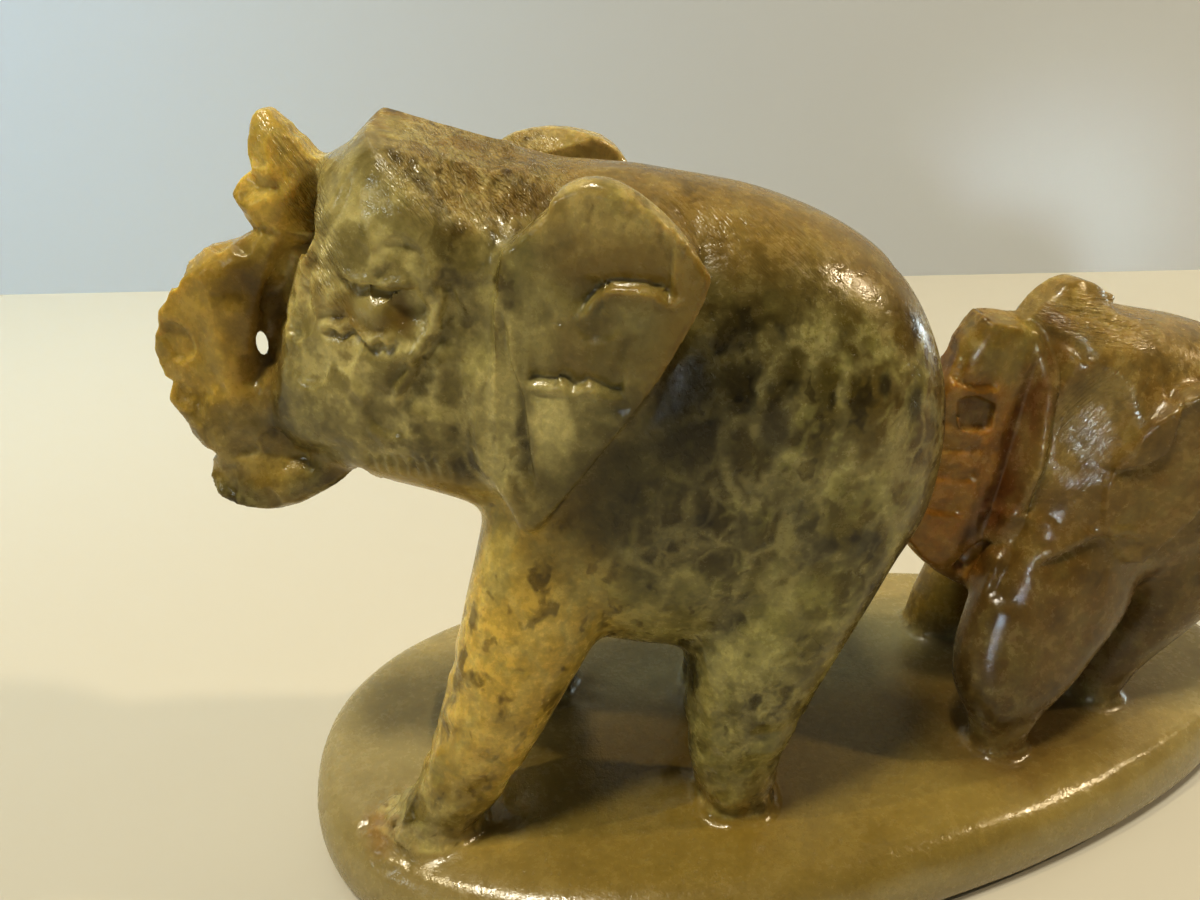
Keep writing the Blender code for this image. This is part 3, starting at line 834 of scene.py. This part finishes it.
class Graph:
    """Short calls for building a node tree. Lengths are in millimetres."""

    def __init__(self, material):
        material.use_nodes = True
        self.tree = material.node_tree
        self.shader = self.tree.nodes["Principled BSDF"]
        coordinates = self.tree.nodes.new("ShaderNodeTexCoord")
        self.position = self.vector("SCALE", coordinates.outputs["Object"], scale=1 / MM)

    def set(self, socket, value):
        """Links a socket, or gives it a value."""
        if isinstance(value, bpy.types.NodeSocket):
            self.tree.links.new(value, socket)
        else:
            socket.default_value = value

    def vector(self, operation, a, b=None, scale=None):
        node = self.tree.nodes.new("ShaderNodeVectorMath")
        node.operation = operation
        self.set(node.inputs[0], a)
        if b is not None:
            self.set(node.inputs[1], b)
        if scale is not None:
            self.set(node.inputs["Scale"], scale)
        return node.outputs["Value" if operation == "LENGTH" else "Vector"]

    def math(self, operation, a, b):
        node = self.tree.nodes.new("ShaderNodeMath")
        node.operation = operation
        self.set(node.inputs[0], a)
        self.set(node.inputs[1], b)
        return node.outputs[0]

    def times(self, a, b):
        return self.math("MULTIPLY", a, b)

    def noise(self, vector, size, detail=2.0, roughness=0.55, color=False):
        node = self.tree.nodes.new("ShaderNodeTexNoise")
        self.set(node.inputs["Vector"], vector)
        node.inputs["Scale"].default_value = 1 / size
        node.inputs["Detail"].default_value = detail
        node.inputs["Roughness"].default_value = roughness
        return node.outputs["Color" if color else "Fac"]

    def borders(self, vector, size):
        """The distance to the nearest border in a net of cells."""
        node = self.tree.nodes.new("ShaderNodeTexVoronoi")
        node.feature = "DISTANCE_TO_EDGE"
        self.set(node.inputs["Vector"], vector)
        node.inputs["Scale"].default_value = 1 / size
        return node.outputs["Distance"]

    def step(self, value, low, high, to_low=0.0, to_high=1.0):
        """A soft step from one value to another as the input goes from low to high."""
        node = self.tree.nodes.new("ShaderNodeMapRange")
        node.interpolation_type = "SMOOTHSTEP"
        self.set(node.inputs["Value"], value)
        for name, number in zip(("From Min", "From Max", "To Min", "To Max"), (low, high, to_low, to_high)):
            self.set(node.inputs[name], number)
        return node.outputs["Result"]

    def mix(self, factor, a, b, kind="MIX"):
        node = self.tree.nodes.new("ShaderNodeMix")
        node.data_type = "RGBA"
        node.blend_type = kind
        self.set(node.inputs["Factor"], factor)
        self.set(node.inputs[6], a)
        self.set(node.inputs[7], b)
        return node.outputs[2]

    def tinted(self, value):
        """A grey of this value."""
        node = self.tree.nodes.new("ShaderNodeCombineColor")
        for socket in node.inputs:
            self.set(socket, value)
        return node.outputs["Color"]

    def warped(self, vector, size, reach, detail=2.0):
        """The place moved about by noise, up to the reach."""
        shift = self.vector("SUBTRACT", self.noise(vector, size, detail, color=True), (0.5, 0.5, 0.5))
        return self.vector("ADD", vector, self.vector("SCALE", shift, scale=reach * 2))

    def turned(self, vector, place, rotation, scale):
        """The place as seen from a turned and stretched frame."""
        node = self.tree.nodes.new("ShaderNodeMapping")
        node.vector_type = "TEXTURE"
        self.set(node.inputs["Vector"], vector)
        node.inputs["Location"].default_value = place
        node.inputs["Rotation"].default_value = [math.radians(v) for v in rotation]
        node.inputs["Scale"].default_value = scale
        return node.outputs["Vector"]

    def zone(self, vector, figure, centre, radii, soft=0.35, tilt=0.0, strength=1.0):
        """A soft oval region in a figure's frame. The tilt leans it in the side view."""
        if figure is None:
            place, yaw = centre, 0.0
        else:
            place, yaw = tuple(figure.at(centre) / MM), figure.yaw
        seen = self.turned(vector, place, (0, tilt, yaw), radii)
        return self.step(self.vector("LENGTH", seen), 1 + soft, 1 - soft, 0.0, strength)


# Colours of the stone: screen values in a bright, even light.
OLIVE = shown(78, 66, 24)
OLIVE_DARK = shown(50, 40, 13)
OLIVE_BLACK = shown(28, 20, 7)
GREEN_PALE = shown(146, 132, 92)
GREEN_GREY = shown(124, 112, 76)
WHITISH = shown(200, 186, 142)
PALE = shown(130, 122, 74)
TAN = shown(118, 92, 45)
BROWN = shown(84, 60, 22)
HONEY = shown(160, 130, 60)
HONEY_DARK = shown(108, 82, 24)
YELLOW = shown(196, 164, 82)
RUST = shown(136, 92, 46)
RED_BROWN = shown(68, 30, 5)
GOLDEN = shown(106, 86, 36)
GREY_TAN = shown(136, 120, 90)
# A colour for painted shadow on the slab.
SLAB_SHADOW_BLUE = shown(90, 90, 72)
SAND = shown(158, 134, 86)
CALF_BROWN = shown(92, 64, 26)
CALF_DARK = shown(70, 48, 19)
AMBER = shown(116, 72, 13)
AMBER_DARK = shown(76, 48, 10)
# What is left of a colour in the dark patches and in the painted shadow behind the ear, and in the flecks.
DEEPER = (0.36, 0.33, 0.2, 1)
FLECK = (0.45, 0.4, 0.25, 1)

# Regions of colour, each laid over the ones before: centre, radii, softness, tilt, colour, strength.
SLAB_REGIONS = (
    ((0, 0, 2), (200, 200, 10.6), 0.05, 0, GREY_TAN, 1),
    ((-2, -16, 8.8), (46, 18, 4), 0.4, 0, GOLDEN, 0.9),
    # Painted shadow on the slab under the body, behind the near feet.
    ((2, 7, 8.8), (27, 9, 3), 0.4, 0, SLAB_SHADOW_BLUE, 0.6),
    ((30, -18, 8.8), (26, 10, 3), 0.5, 0, SAND, 0.3),
)
MOTHER_REGIONS = (
    # Body.
    ((14, 0, 66), (28, 14.5, 9), 0.45, 12, TAN, 0.85),
    ((30, -6, 50), (9, 12, 16), 0.5, 0, BROWN, 0.6),
    # Painted shadow of the ear on the body behind it.
    ((8, -16, 46), (9.5, 7, 17), 0.5, 30, OLIVE_DARK, 0.85),
    ((4, -13, 26), (16, 9, 8), 0.5, 0, PALE, 0.45),
    # Legs.
    ((-9, -9, 22), (9.5, 9, 22), 0.4, 12, YELLOW, 0.9),
    ((-14, -12, 14), (5, 6, 7), 0.6, 18, HONEY, 0.4),
    ((-23.6, -11, 0.8), (2.4, 3, 1.6), 0.7, 0, RUST, 0.5),
    ((14, -10, 13), (7, 7, 13), 0.5, 0, PALE, 0.4),
    ((15, -9, 2.5), (6.5, 7, 5), 0.5, 0, HONEY_DARK, 0.7),
    ((-6, 11, 8), (8, 7, 14), 0.4, 0, OLIVE, 0.8),
    # Head.
    ((-17, 0, 56), (12, 17, 17), 0.25, 0, GREEN_PALE, 0.95),
    # Painted shade in the valley between cheek and ear.
    ((-11, -10, 50), (5.5, 7, 9), 0.5, 0, OLIVE, 0.5),
    ((-14, 0, 71.5), (10, 8.5, 3.4), 0.4, 16, TAN, 0.9),
    ((-24, 0, 61), (2.6, 10.5, 12), 0.5, -22, SAND, 0.9),
    ((-10, 0, 67.2), (7.6, 13, 3.8), 0.35, 8, TAN, 0.9),
    ((-28, 0, 40.5), (8.5, 8, 3.6), 0.4, 8, HONEY, 0.7),
    ((-26, -5, 40), (3, 3, 2), 0.6, 0, OLIVE_BLACK, 0.8),
    # Trunk.
    ((-34.5, 0, 53), (7.5, 8, 13), 0.3, 14, HONEY, 0.95),
    ((-27.5, 0, 68), (4.4, 6, 7), 0.3, 0, YELLOW, 0.8),
    ((-31.5, -3, 58), (2.6, 3, 2.6), 0.5, 0, HONEY_DARK, 0.9),
    ((-30.2, 0, 54), (2.2, 9, 8), 0.5, 0, BROWN, 0.8),
    ((-33.5, 0, 44.5), (4, 6, 3.6), 0.5, 0, GREY_TAN, 0.8),
    # Ears.
    ((-1, -17, 54), (10.5, 4.5, 17), 0.25, 0, GREEN_GREY, 0.8),
    ((0, -17, 66), (7, 4.5, 4), 0.5, 20, SAND, 0.75),
    ((-8.8, -13.6, 49), (2, 4, 9), 0.5, 0, WHITISH, 0.45),
    # Painted shade in the groove of the ear.
    ((-6.6, -14.6, 48.5), (0.9, 4, 5.5), 0.6, 0, OLIVE_DARK, 0.8),
    ((-4.6, -15.6, 48.5), (1.5, 4, 4.5), 0.6, -8, WHITISH, 0.7),
    ((-1, -16, 56), (4, 4, 2.6), 0.6, 0, TAN, 0.5),
    ((-4, 14, 66), (11, 6, 8), 0.2, 0, SAND, 0.9),
)
CALF_REGIONS = (
    ((4, 0, 30), (26, 20, 30), 0.15, 0, CALF_BROWN, 0.85),
    ((-2, -6, 10), (20, 14, 15), 0.4, 0, CALF_DARK, 0.85),
    ((6, 0, 49), (14, 14, 6), 0.5, 5, TAN, 0.7),
    ((-4, 0, 53), (6, 5, 4), 0.4, 0, TAN, 0.9),
    ((-15, 0, 34), (5.6, 7, 18), 0.3, 8, AMBER, 1),
    ((-12, -2, 48), (4.4, 5, 4), 0.5, 0, GOLDEN, 0.8),
    # Painted shade: a red-brown strip along the trunk's edge towards the cheek.
    ((-9.4, -4.2, 36), (1.8, 3, 15), 0.5, 9, RED_BROWN, 0.85),
    # Painted shade inside the square hollow of the trunk.
    ((-14.2, -2.6, 41), (2.6, 2.5, 2.2), 0.3, 0, AMBER_DARK, 0.8),
    ((-11, 0, 20.5), (4, 6, 3), 0.5, 0, AMBER, 0.8),
    ((-9, -12, 1.5), (6, 6, 3), 0.5, 0, BROWN, 0.6),
    ((-4, 12, 9), (8, 8, 8), 0.2, 0, HONEY_DARK, 1),
    # A lighter cheek: partly the stone's own tone, partly a painted highlight.
    ((-5, -8, 40), (3, 6, 7), 0.5, 30, SAND, 0.25),
)
# Regions of the large elephant that lie over the pattern.
LATE_REGIONS = (
    # The socket of the eye: the stone's amber, and painted shade in the recess.
    ((-18.8, 0, 57.9), (4, 17, 2.3), 0.3, 0, HONEY_DARK, 0.8),
    ((-18.8, 0, 58.4), (1.8, 17, 2.2), 0.3, 0, GREEN_PALE, 0.9),
    # Darker amber in the hollow behind the eye: partly painted shade.
    ((-16, 0, 57.6), (0.8, 17, 1.7), 0.5, -10, AMBER_DARK, 0.6),
    # Painted shade in the hollow above the upper crescent of the ear.
    ((2.6, -17, 62.6), (6.5, 4, 2.4), 0.6, 0, HONEY_DARK, 0.6),
    ((6.6, -17.5, 59), (2.4, 4, 7.5), 0.6, 20, HONEY_DARK, 0.7),
    ((1, -17, 56.8), (3, 4, 2), 0.7, 0, OLIVE, 0.5),
    ((-16.5, -6, 41), (7, 8, 2.6), 0.5, 0, HONEY, 0.6),
)
# Painted shadow of the ear on the body behind it, laid over the pattern: figure, centre, radii, softness,
# tilt, strength.
PAINTED_EAR_SHADOW = (MOTHER, (3.6, -15, 47), (5.4, 7, 16), 0.6, 33, 0.9)
# Small dark spots: figure, centre, radius.
SPOTS = (
    (MOTHER, (27.2, -12.7, 49.5), 0.9),
    (MOTHER, (14.4, -15, 48.6), 1.4),
    (MOTHER, (24, -13.4, 51.6), 0.6),
    (MOTHER, (-37.5, -2, 46.7), 0.35),
    (MOTHER, (-23.8, -7, 60.9), 0.22),
)
SPOT_SHAPE = (1, 1.5, 1.7)
# Rasped patches: figure, centre, radii, softness, tilt, turn of the marks, depth.
RASPS = (
    (MOTHER, (-23.4, 0, 64), (2.2, 12, 7.5), 0.5, -22, (0, 62, 0), 0.3),
    (MOTHER, (-9.6, 0, 68), (8, 14, 4.4), 0.3, 0, (0, 70, 20), 0.4),
    (MOTHER, (-12, 0, 71.5), (9, 7, 2.6), 0.5, 12, (0, 18, 40), 0.1),
    (MOTHER, (12, -9, 64.5), (9, 7, 3.4), 0.6, 14, (0, 40, -20), 0.05),
    (CALF, (-1, -3, 50.6), (6, 6, 2.2), 0.5, 4, (0, 8, 10), 0.16),
    (CALF, (-4, -8, 39.5), (4, 7, 8.5), 0.5, 30, (0, -58, 0), 0.05),
)


# Where the pattern changes, each row a figure, centre and radii. The head and the near ear:
FACE_ZONES = (
    (MOTHER, (-18.5, 0, 56), (10.5, 17, 14)),
    (MOTHER, (-1, -16.5, 52), (9, 4, 14)),
)
# The head alone:
HEAD_ZONES = (
    (MOTHER, (-18, 0, 55), (9.5, 17, 13)),
)
# The quiet parts: the calf, the large elephant's back and its trunk:
QUIET_ZONES = (
    (CALF, (4, 0, 26), (30, 24, 36)),
    (MOTHER, (18, 0, 66), (28, 20, 12)),
    (CALF, (-3, -6, 8), (16, 14, 18)),
    (MOTHER, (-32, 0, 55), (10, 10, 20)),
)
# The parts that let the most light in:
HONEY_ZONES = (
    (MOTHER, (-32, 0, 57), (11, 9, 18)),
    (MOTHER, (-4, 16.5, 62), (12, 6, 12)),
    (CALF, (-14, 0, 34), (6, 7, 19)),
    (MOTHER, (3, -17.5, 62), (8, 4, 8)),
    (MOTHER, (-12, -9, 16), (10, 9, 20)),
)
SLAB_ZONE = ((0, 0, 2), (200, 200, 7.5), 0.05)


def zones(g, vector, rows, soft):
    """The strongest of several regions."""
    total = 0.0
    for figure, centre, radii in rows:
        total = g.math("MAXIMUM", total, g.zone(vector, figure, centre, radii, soft))
    return total


def lay_regions(g, color, vector, figure, rows):
    """Regions of colour in a figure's frame, each over the ones before it."""
    for centre, radii, soft, tilt, tint, strength in rows:
        color = g.mix(g.zone(vector, figure, centre, radii, soft, tilt, strength), color, tint)
    return color


def darkened(g, color, factor, shade):
    return g.mix(factor, color, g.mix(1.0, color, shade, "MULTIPLY"))


def lay_patches(g, color, tall, face, calm, busy):
    """Irregular patches, fewer in the quiet parts. The dark ones keep off the face too."""
    patch = g.noise(tall, 4.4, 3.0, 0.62)
    dark = g.times(g.step(patch, 0.46, 0.36), g.step(busy, 0, 1.2, 0.95, 0.1))
    color = darkened(g, color, dark, DEEPER)
    pale = g.times(g.step(patch, 0.52, 0.62), g.step(calm, 0, 1, 0.65, 0.05))
    return g.mix(pale, color, g.mix(g.step(face, 0, 1, 0.65, 0.25), color, PALE))


def lay_veins(g, color, tall, cloud, mid, face, calm):
    """Two nets of pale veins, the fine one only here and there."""
    wide = g.step(g.borders(tall, 4.6), 0.2, 0.0)
    small = g.step(g.borders(tall, 2.2), 0.2, 0.0)
    net = g.math("MAXIMUM", wide, g.times(small, g.step(cloud, 0.4, 0.6)))
    net = g.times(net, g.step(mid, 0.3, 0.6, 0.35, 1.0))
    net = g.times(net, g.step(calm, 0, 1, 0.7, 0.04))
    return g.mix(net, color, g.mix(g.step(face, 0, 1, 0.4, 0.2), color, WHITISH))


def lay_grain(g, color, tall, mid, fine, slab, busy):
    """Light and dark grain, weaker on the slab, and small dark flecks."""
    grain = g.math("ADD", g.times(mid, 0.5), g.times(fine, 0.5))
    toned = g.mix(1.0, color, g.tinted(g.step(grain, 0.34, 0.66, 0.78, 1.22)), "MULTIPLY")
    color = g.mix(g.step(slab, 0, 1, 1.0, 0.35), color, toned)
    fleck = g.step(g.noise(tall, 1.9, 2.0, 0.5), 0.64, 0.72, 0.0, 0.75)
    fleck = g.times(fleck, g.step(busy, 0, 1, 1.0, 0.15))
    return darkened(g, color, fleck, FLECK)


def lay_pockets(g, color, broad, mid, face):
    """Olive pockets with milky borders on the head, fainter on the ear."""
    head = zones(g, broad, HEAD_ZONES, 0.3)
    veiled = g.math("ADD", g.times(head, 0.7), g.times(face, 0.3))
    pocket = g.borders(g.warped(g.position, 2.4, 2.4, 3.0), 5.2)
    olive = g.times(g.step(pocket, 0.02, 0.36), g.step(veiled, 0, 1, 0, 0.48))
    color = g.mix(olive, color, OLIVE)
    milk = g.times(g.step(pocket, 0.2, 0.0), g.step(mid, 0.35, 0.6, 0.2, 1.0))
    return g.mix(g.times(milk, g.step(veiled, 0, 1, 0, 0.7)), color, WHITISH)


def lay_spots(g, color, near):
    for figure, centre, radius in SPOTS:
        radii = tuple(radius * stretch for stretch in SPOT_SHAPE)
        spot = g.zone(near, figure, centre, radii, 0.5)
        color = g.mix(g.times(spot, 0.8), color, OLIVE_BLACK)
    return color


def stone_color(g, broad, mid, fine):
    """Regions of colour under the mottled pattern, and the few that lie over it, painted shadow and shade
    among them.
    """
    cloud = g.noise(g.position, 13.0, 3.0, 0.6)
    slab = g.zone(g.position, None, *SLAB_ZONE)
    face = zones(g, broad, FACE_ZONES, 0.3)
    quiet = g.times(zones(g, broad, QUIET_ZONES, 0.4), 0.75)
    calm = g.math("MAXIMUM", g.times(slab, 1.15), quiet)
    busy = g.math("MAXIMUM", face, calm)
    tall = g.turned(g.warped(g.position, 3.0, 1.3), (0, 0, 0), (0, 12, 0), (1.0, 1.0, 1.5))
    near = g.warped(g.position, 1.2, 0.3)

    color = g.mix(g.step(cloud, 0.35, 0.65), OLIVE, OLIVE_DARK)
    for figure, rows in ((None, SLAB_REGIONS), (MOTHER, MOTHER_REGIONS), (CALF, CALF_REGIONS)):
        color = lay_regions(g, color, broad, figure, rows)
    color = lay_patches(g, color, tall, face, calm, busy)
    color = lay_veins(g, color, tall, cloud, mid, face, calm)
    color = lay_grain(g, color, tall, mid, fine, slab, busy)
    # Painted shadow of the ear on the body behind it.
    color = darkened(g, color, g.zone(broad, *PAINTED_EAR_SHADOW), DEEPER)
    color = lay_pockets(g, color, broad, mid, face)
    color = lay_regions(g, color, near, MOTHER, LATE_REGIONS)
    return lay_spots(g, color, near)


# The depth of the fine grain and of the scratches, and the sizes of a scratch and of a rasp's mark.
GRAIN_DEPTH = 0.08
SCRATCH_DEPTH = 0.035
SCRATCH_SIZE = (9, 0.35, 0.35)
SCRATCH_TURN = (20, 50, 10)
RASP_SIZE = (2.6, 0.9, 0.3)
BUMP_STRENGTH = 0.8


def stone_relief(g, fine):
    """Fine grain, a few long scratches, and the marks of the rasp where it was left unpolished."""
    strokes = g.noise(g.turned(g.position, (0, 0, 0), SCRATCH_TURN, SCRATCH_SIZE), 1.0, 3.0, 0.7)
    scratches = g.times(g.step(strokes, 0.6, 0.75), SCRATCH_DEPTH)
    height = g.math("SUBTRACT", g.times(fine, GRAIN_DEPTH), scratches)
    for figure, centre, radii, soft, tilt, turn, depth in RASPS:
        marks = g.noise(g.turned(g.position, (0, 0, 0), turn, RASP_SIZE), 1.0, 2.0, 0.6)
        where = g.zone(g.position, figure, centre, radii, soft, tilt, depth)
        height = g.math("SUBTRACT", height, g.times(g.step(marks, 0.35, 0.65), where))
    bump = g.tree.nodes.new("ShaderNodeBump")
    bump.inputs["Strength"].default_value = BUMP_STRENGTH
    bump.inputs["Distance"].default_value = MM
    g.set(bump.inputs["Height"], height)
    return bump.outputs["Normal"]


# How far light goes into the stone: the shares of red, green and blue, and the reach.
LIGHT_REACH = (0.8, 0.6, 0.25)
LIGHT_DEPTH = 1.8


def stone_material():
    """Mottled, waxed soapstone, translucent where it is thin and honey-coloured."""
    material = bpy.data.materials.new("soapstone")
    g = Graph(material)
    broad = g.warped(g.position, 8.0, 3.0, 3.0)
    mid = g.noise(g.position, 3.0, 3.0, 0.6)
    fine = g.noise(g.position, 0.8, 3.0, 0.65)
    honey = zones(g, broad, HONEY_ZONES, 0.3)
    g.set(g.shader.inputs["Base Color"], stone_color(g, broad, mid, fine))
    g.set(g.shader.inputs["Subsurface Weight"], g.step(honey, 0, 1, 0.35, 0.9))
    g.shader.inputs["Subsurface Radius"].default_value = LIGHT_REACH
    g.shader.inputs["Subsurface Scale"].default_value = LIGHT_DEPTH * MM
    g.shader.inputs["Specular IOR Level"].default_value = 0.5
    g.set(g.shader.inputs["Roughness"], g.step(g.math("ADD", mid, fine), 0.7, 1.3, 0.15, 0.32))
    g.set(g.shader.inputs["Normal"], stone_relief(g, fine))
    return material


# -------------------- stage, in metres and degrees

STAGE_SIZE = 1.5
TABLE_COLOR = (0.58, 0.54, 0.44)
WALL_COLOR = (0.655, 0.665, 0.66)
STAGE_ROUGHNESS = 0.7
WALL_MIDDLE = (0, 0.2315)
WALL_TURN = -7.0
GROUP_MIDDLE = (0, 0, 0.04)
NO_BEAM = 180
# Soft lights: name, azimuth, elevation, distance, size, watts, colour, aim, width of the beam.
# Azimuth 0 is +Y and 90 is +X.
LIGHTS = (
    ("ceiling", -124, 72, 1.6, 0.24, 17, (1, 0.965, 0.86), GROUP_MIDDLE, NO_BEAM),
    ("lamp", 103, 42, 0.8, 0.035, 2.1, (1, 0.84, 0.62), GROUP_MIDDLE, NO_BEAM),
    ("bulb", -100, 62, 0.9, 0.014, 1.8, (1, 0.88, 0.62), GROUP_MIDDLE, NO_BEAM),
    ("window", -110, 23, 1, 0.1, 0.7, (0.78, 0.90, 1), GROUP_MIDDLE, NO_BEAM),
    ("doorway", 72, 5, 0.5, 0.06, 0.25, (0.75, 0.90, 1), GROUP_MIDDLE, NO_BEAM),
    ("gap", -146, 8, 0.5, 0.09, 0.0065, (0.75, 0.90, 1), (0.042, -0.013, 0.054), 7),
    ("wall_wash", -150, 30, 0.4, 0.16, 0.2, (0.26, 0.60, 1), (-0.21, 0.25, 0.1), 80),
    ("pool", 0, 89, 0.32, 0.1, 0.035, (0.85, 0.95, 1), (-0.13, 0.14, 0), 80),
)
ROOM_COLOR = (0.80, 0.84, 0.84, 1)
ROOM_STRENGTH = 0.09
CAMERA_PLACE = (-0.04173, -0.08625, 0.0888)
CAMERA_TILT = 64.0
CAMERA_TURN = -11.4
CAMERA_LENS = 27
CAMERA_SENSOR = 36
CAMERA_CLIP = 0.005


def plain_material(name, color):
    material = bpy.data.materials.new(name)
    material.use_nodes = True
    shader = material.node_tree.nodes["Principled BSDF"]
    shader.inputs["Base Color"].default_value = (*color, 1)
    shader.inputs["Roughness"].default_value = STAGE_ROUGHNESS
    return material


def sheet(name, color):
    """A flat square through the group's middle."""
    bm = bmesh.new()
    bmesh.ops.create_grid(bm, size=STAGE_SIZE / MM)
    obj = mesh_object(name, bm)
    obj.data.materials.append(plain_material("pale_" + name, color))
    return obj


def stage():
    """A cream table, and a pale wall behind it."""
    table = sheet("table", TABLE_COLOR)
    wall = sheet("wall", WALL_COLOR)
    wall.rotation_euler = (math.radians(90), 0, math.radians(WALL_TURN))
    wall.location = (*WALL_MIDDLE, STAGE_SIZE)


def soft_light(name, azimuth, elevation, distance, size, power, color, aim, beam):
    """A round area light, unseen itself."""
    light = bpy.data.lights.new(name, "AREA")
    light.shape = "DISK"
    light.size = size
    light.energy = power
    light.color = color
    light.spread = math.radians(beam)
    obj = placed(name, light)
    a, e = math.radians(azimuth), math.radians(elevation)
    direction = Vector((math.sin(a) * math.cos(e), math.cos(a) * math.cos(e), math.sin(e)))
    obj.location = Vector(aim) + direction * distance
    obj.rotation_euler = (-direction).to_track_quat("-Z", "Y").to_euler()
    obj.visible_camera = False


def room():
    """The lights, and the dim light from all round."""
    for row in LIGHTS:
        soft_light(*row)
    world = bpy.data.worlds.new("room")
    world.use_nodes = True
    background = world.node_tree.nodes["Background"]
    background.inputs["Color"].default_value = ROOM_COLOR
    background.inputs["Strength"].default_value = ROOM_STRENGTH
    bpy.context.scene.world = world


def camera():
    data = bpy.data.cameras.new("camera")
    data.sensor_width = CAMERA_SENSOR
    data.lens = CAMERA_LENS
    data.clip_start = CAMERA_CLIP
    obj = placed("camera", data)
    obj.location = CAMERA_PLACE
    obj.rotation_euler = (math.radians(CAMERA_TILT), 0, math.radians(CAMERA_TURN))
    bpy.context.scene.camera = obj


camera()
carving = build_carving()
carving.name = "carved_group"
carving.data.materials.clear()
carving.data.materials.append(stone_material())
carving.data.shade_smooth()
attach(carving, "root")
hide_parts(NODE)
stage()
room()
bpy.context.scene.view_settings.view_transform = "Standard"
bpy.context.scene.view_settings.gamma = CONTRAST
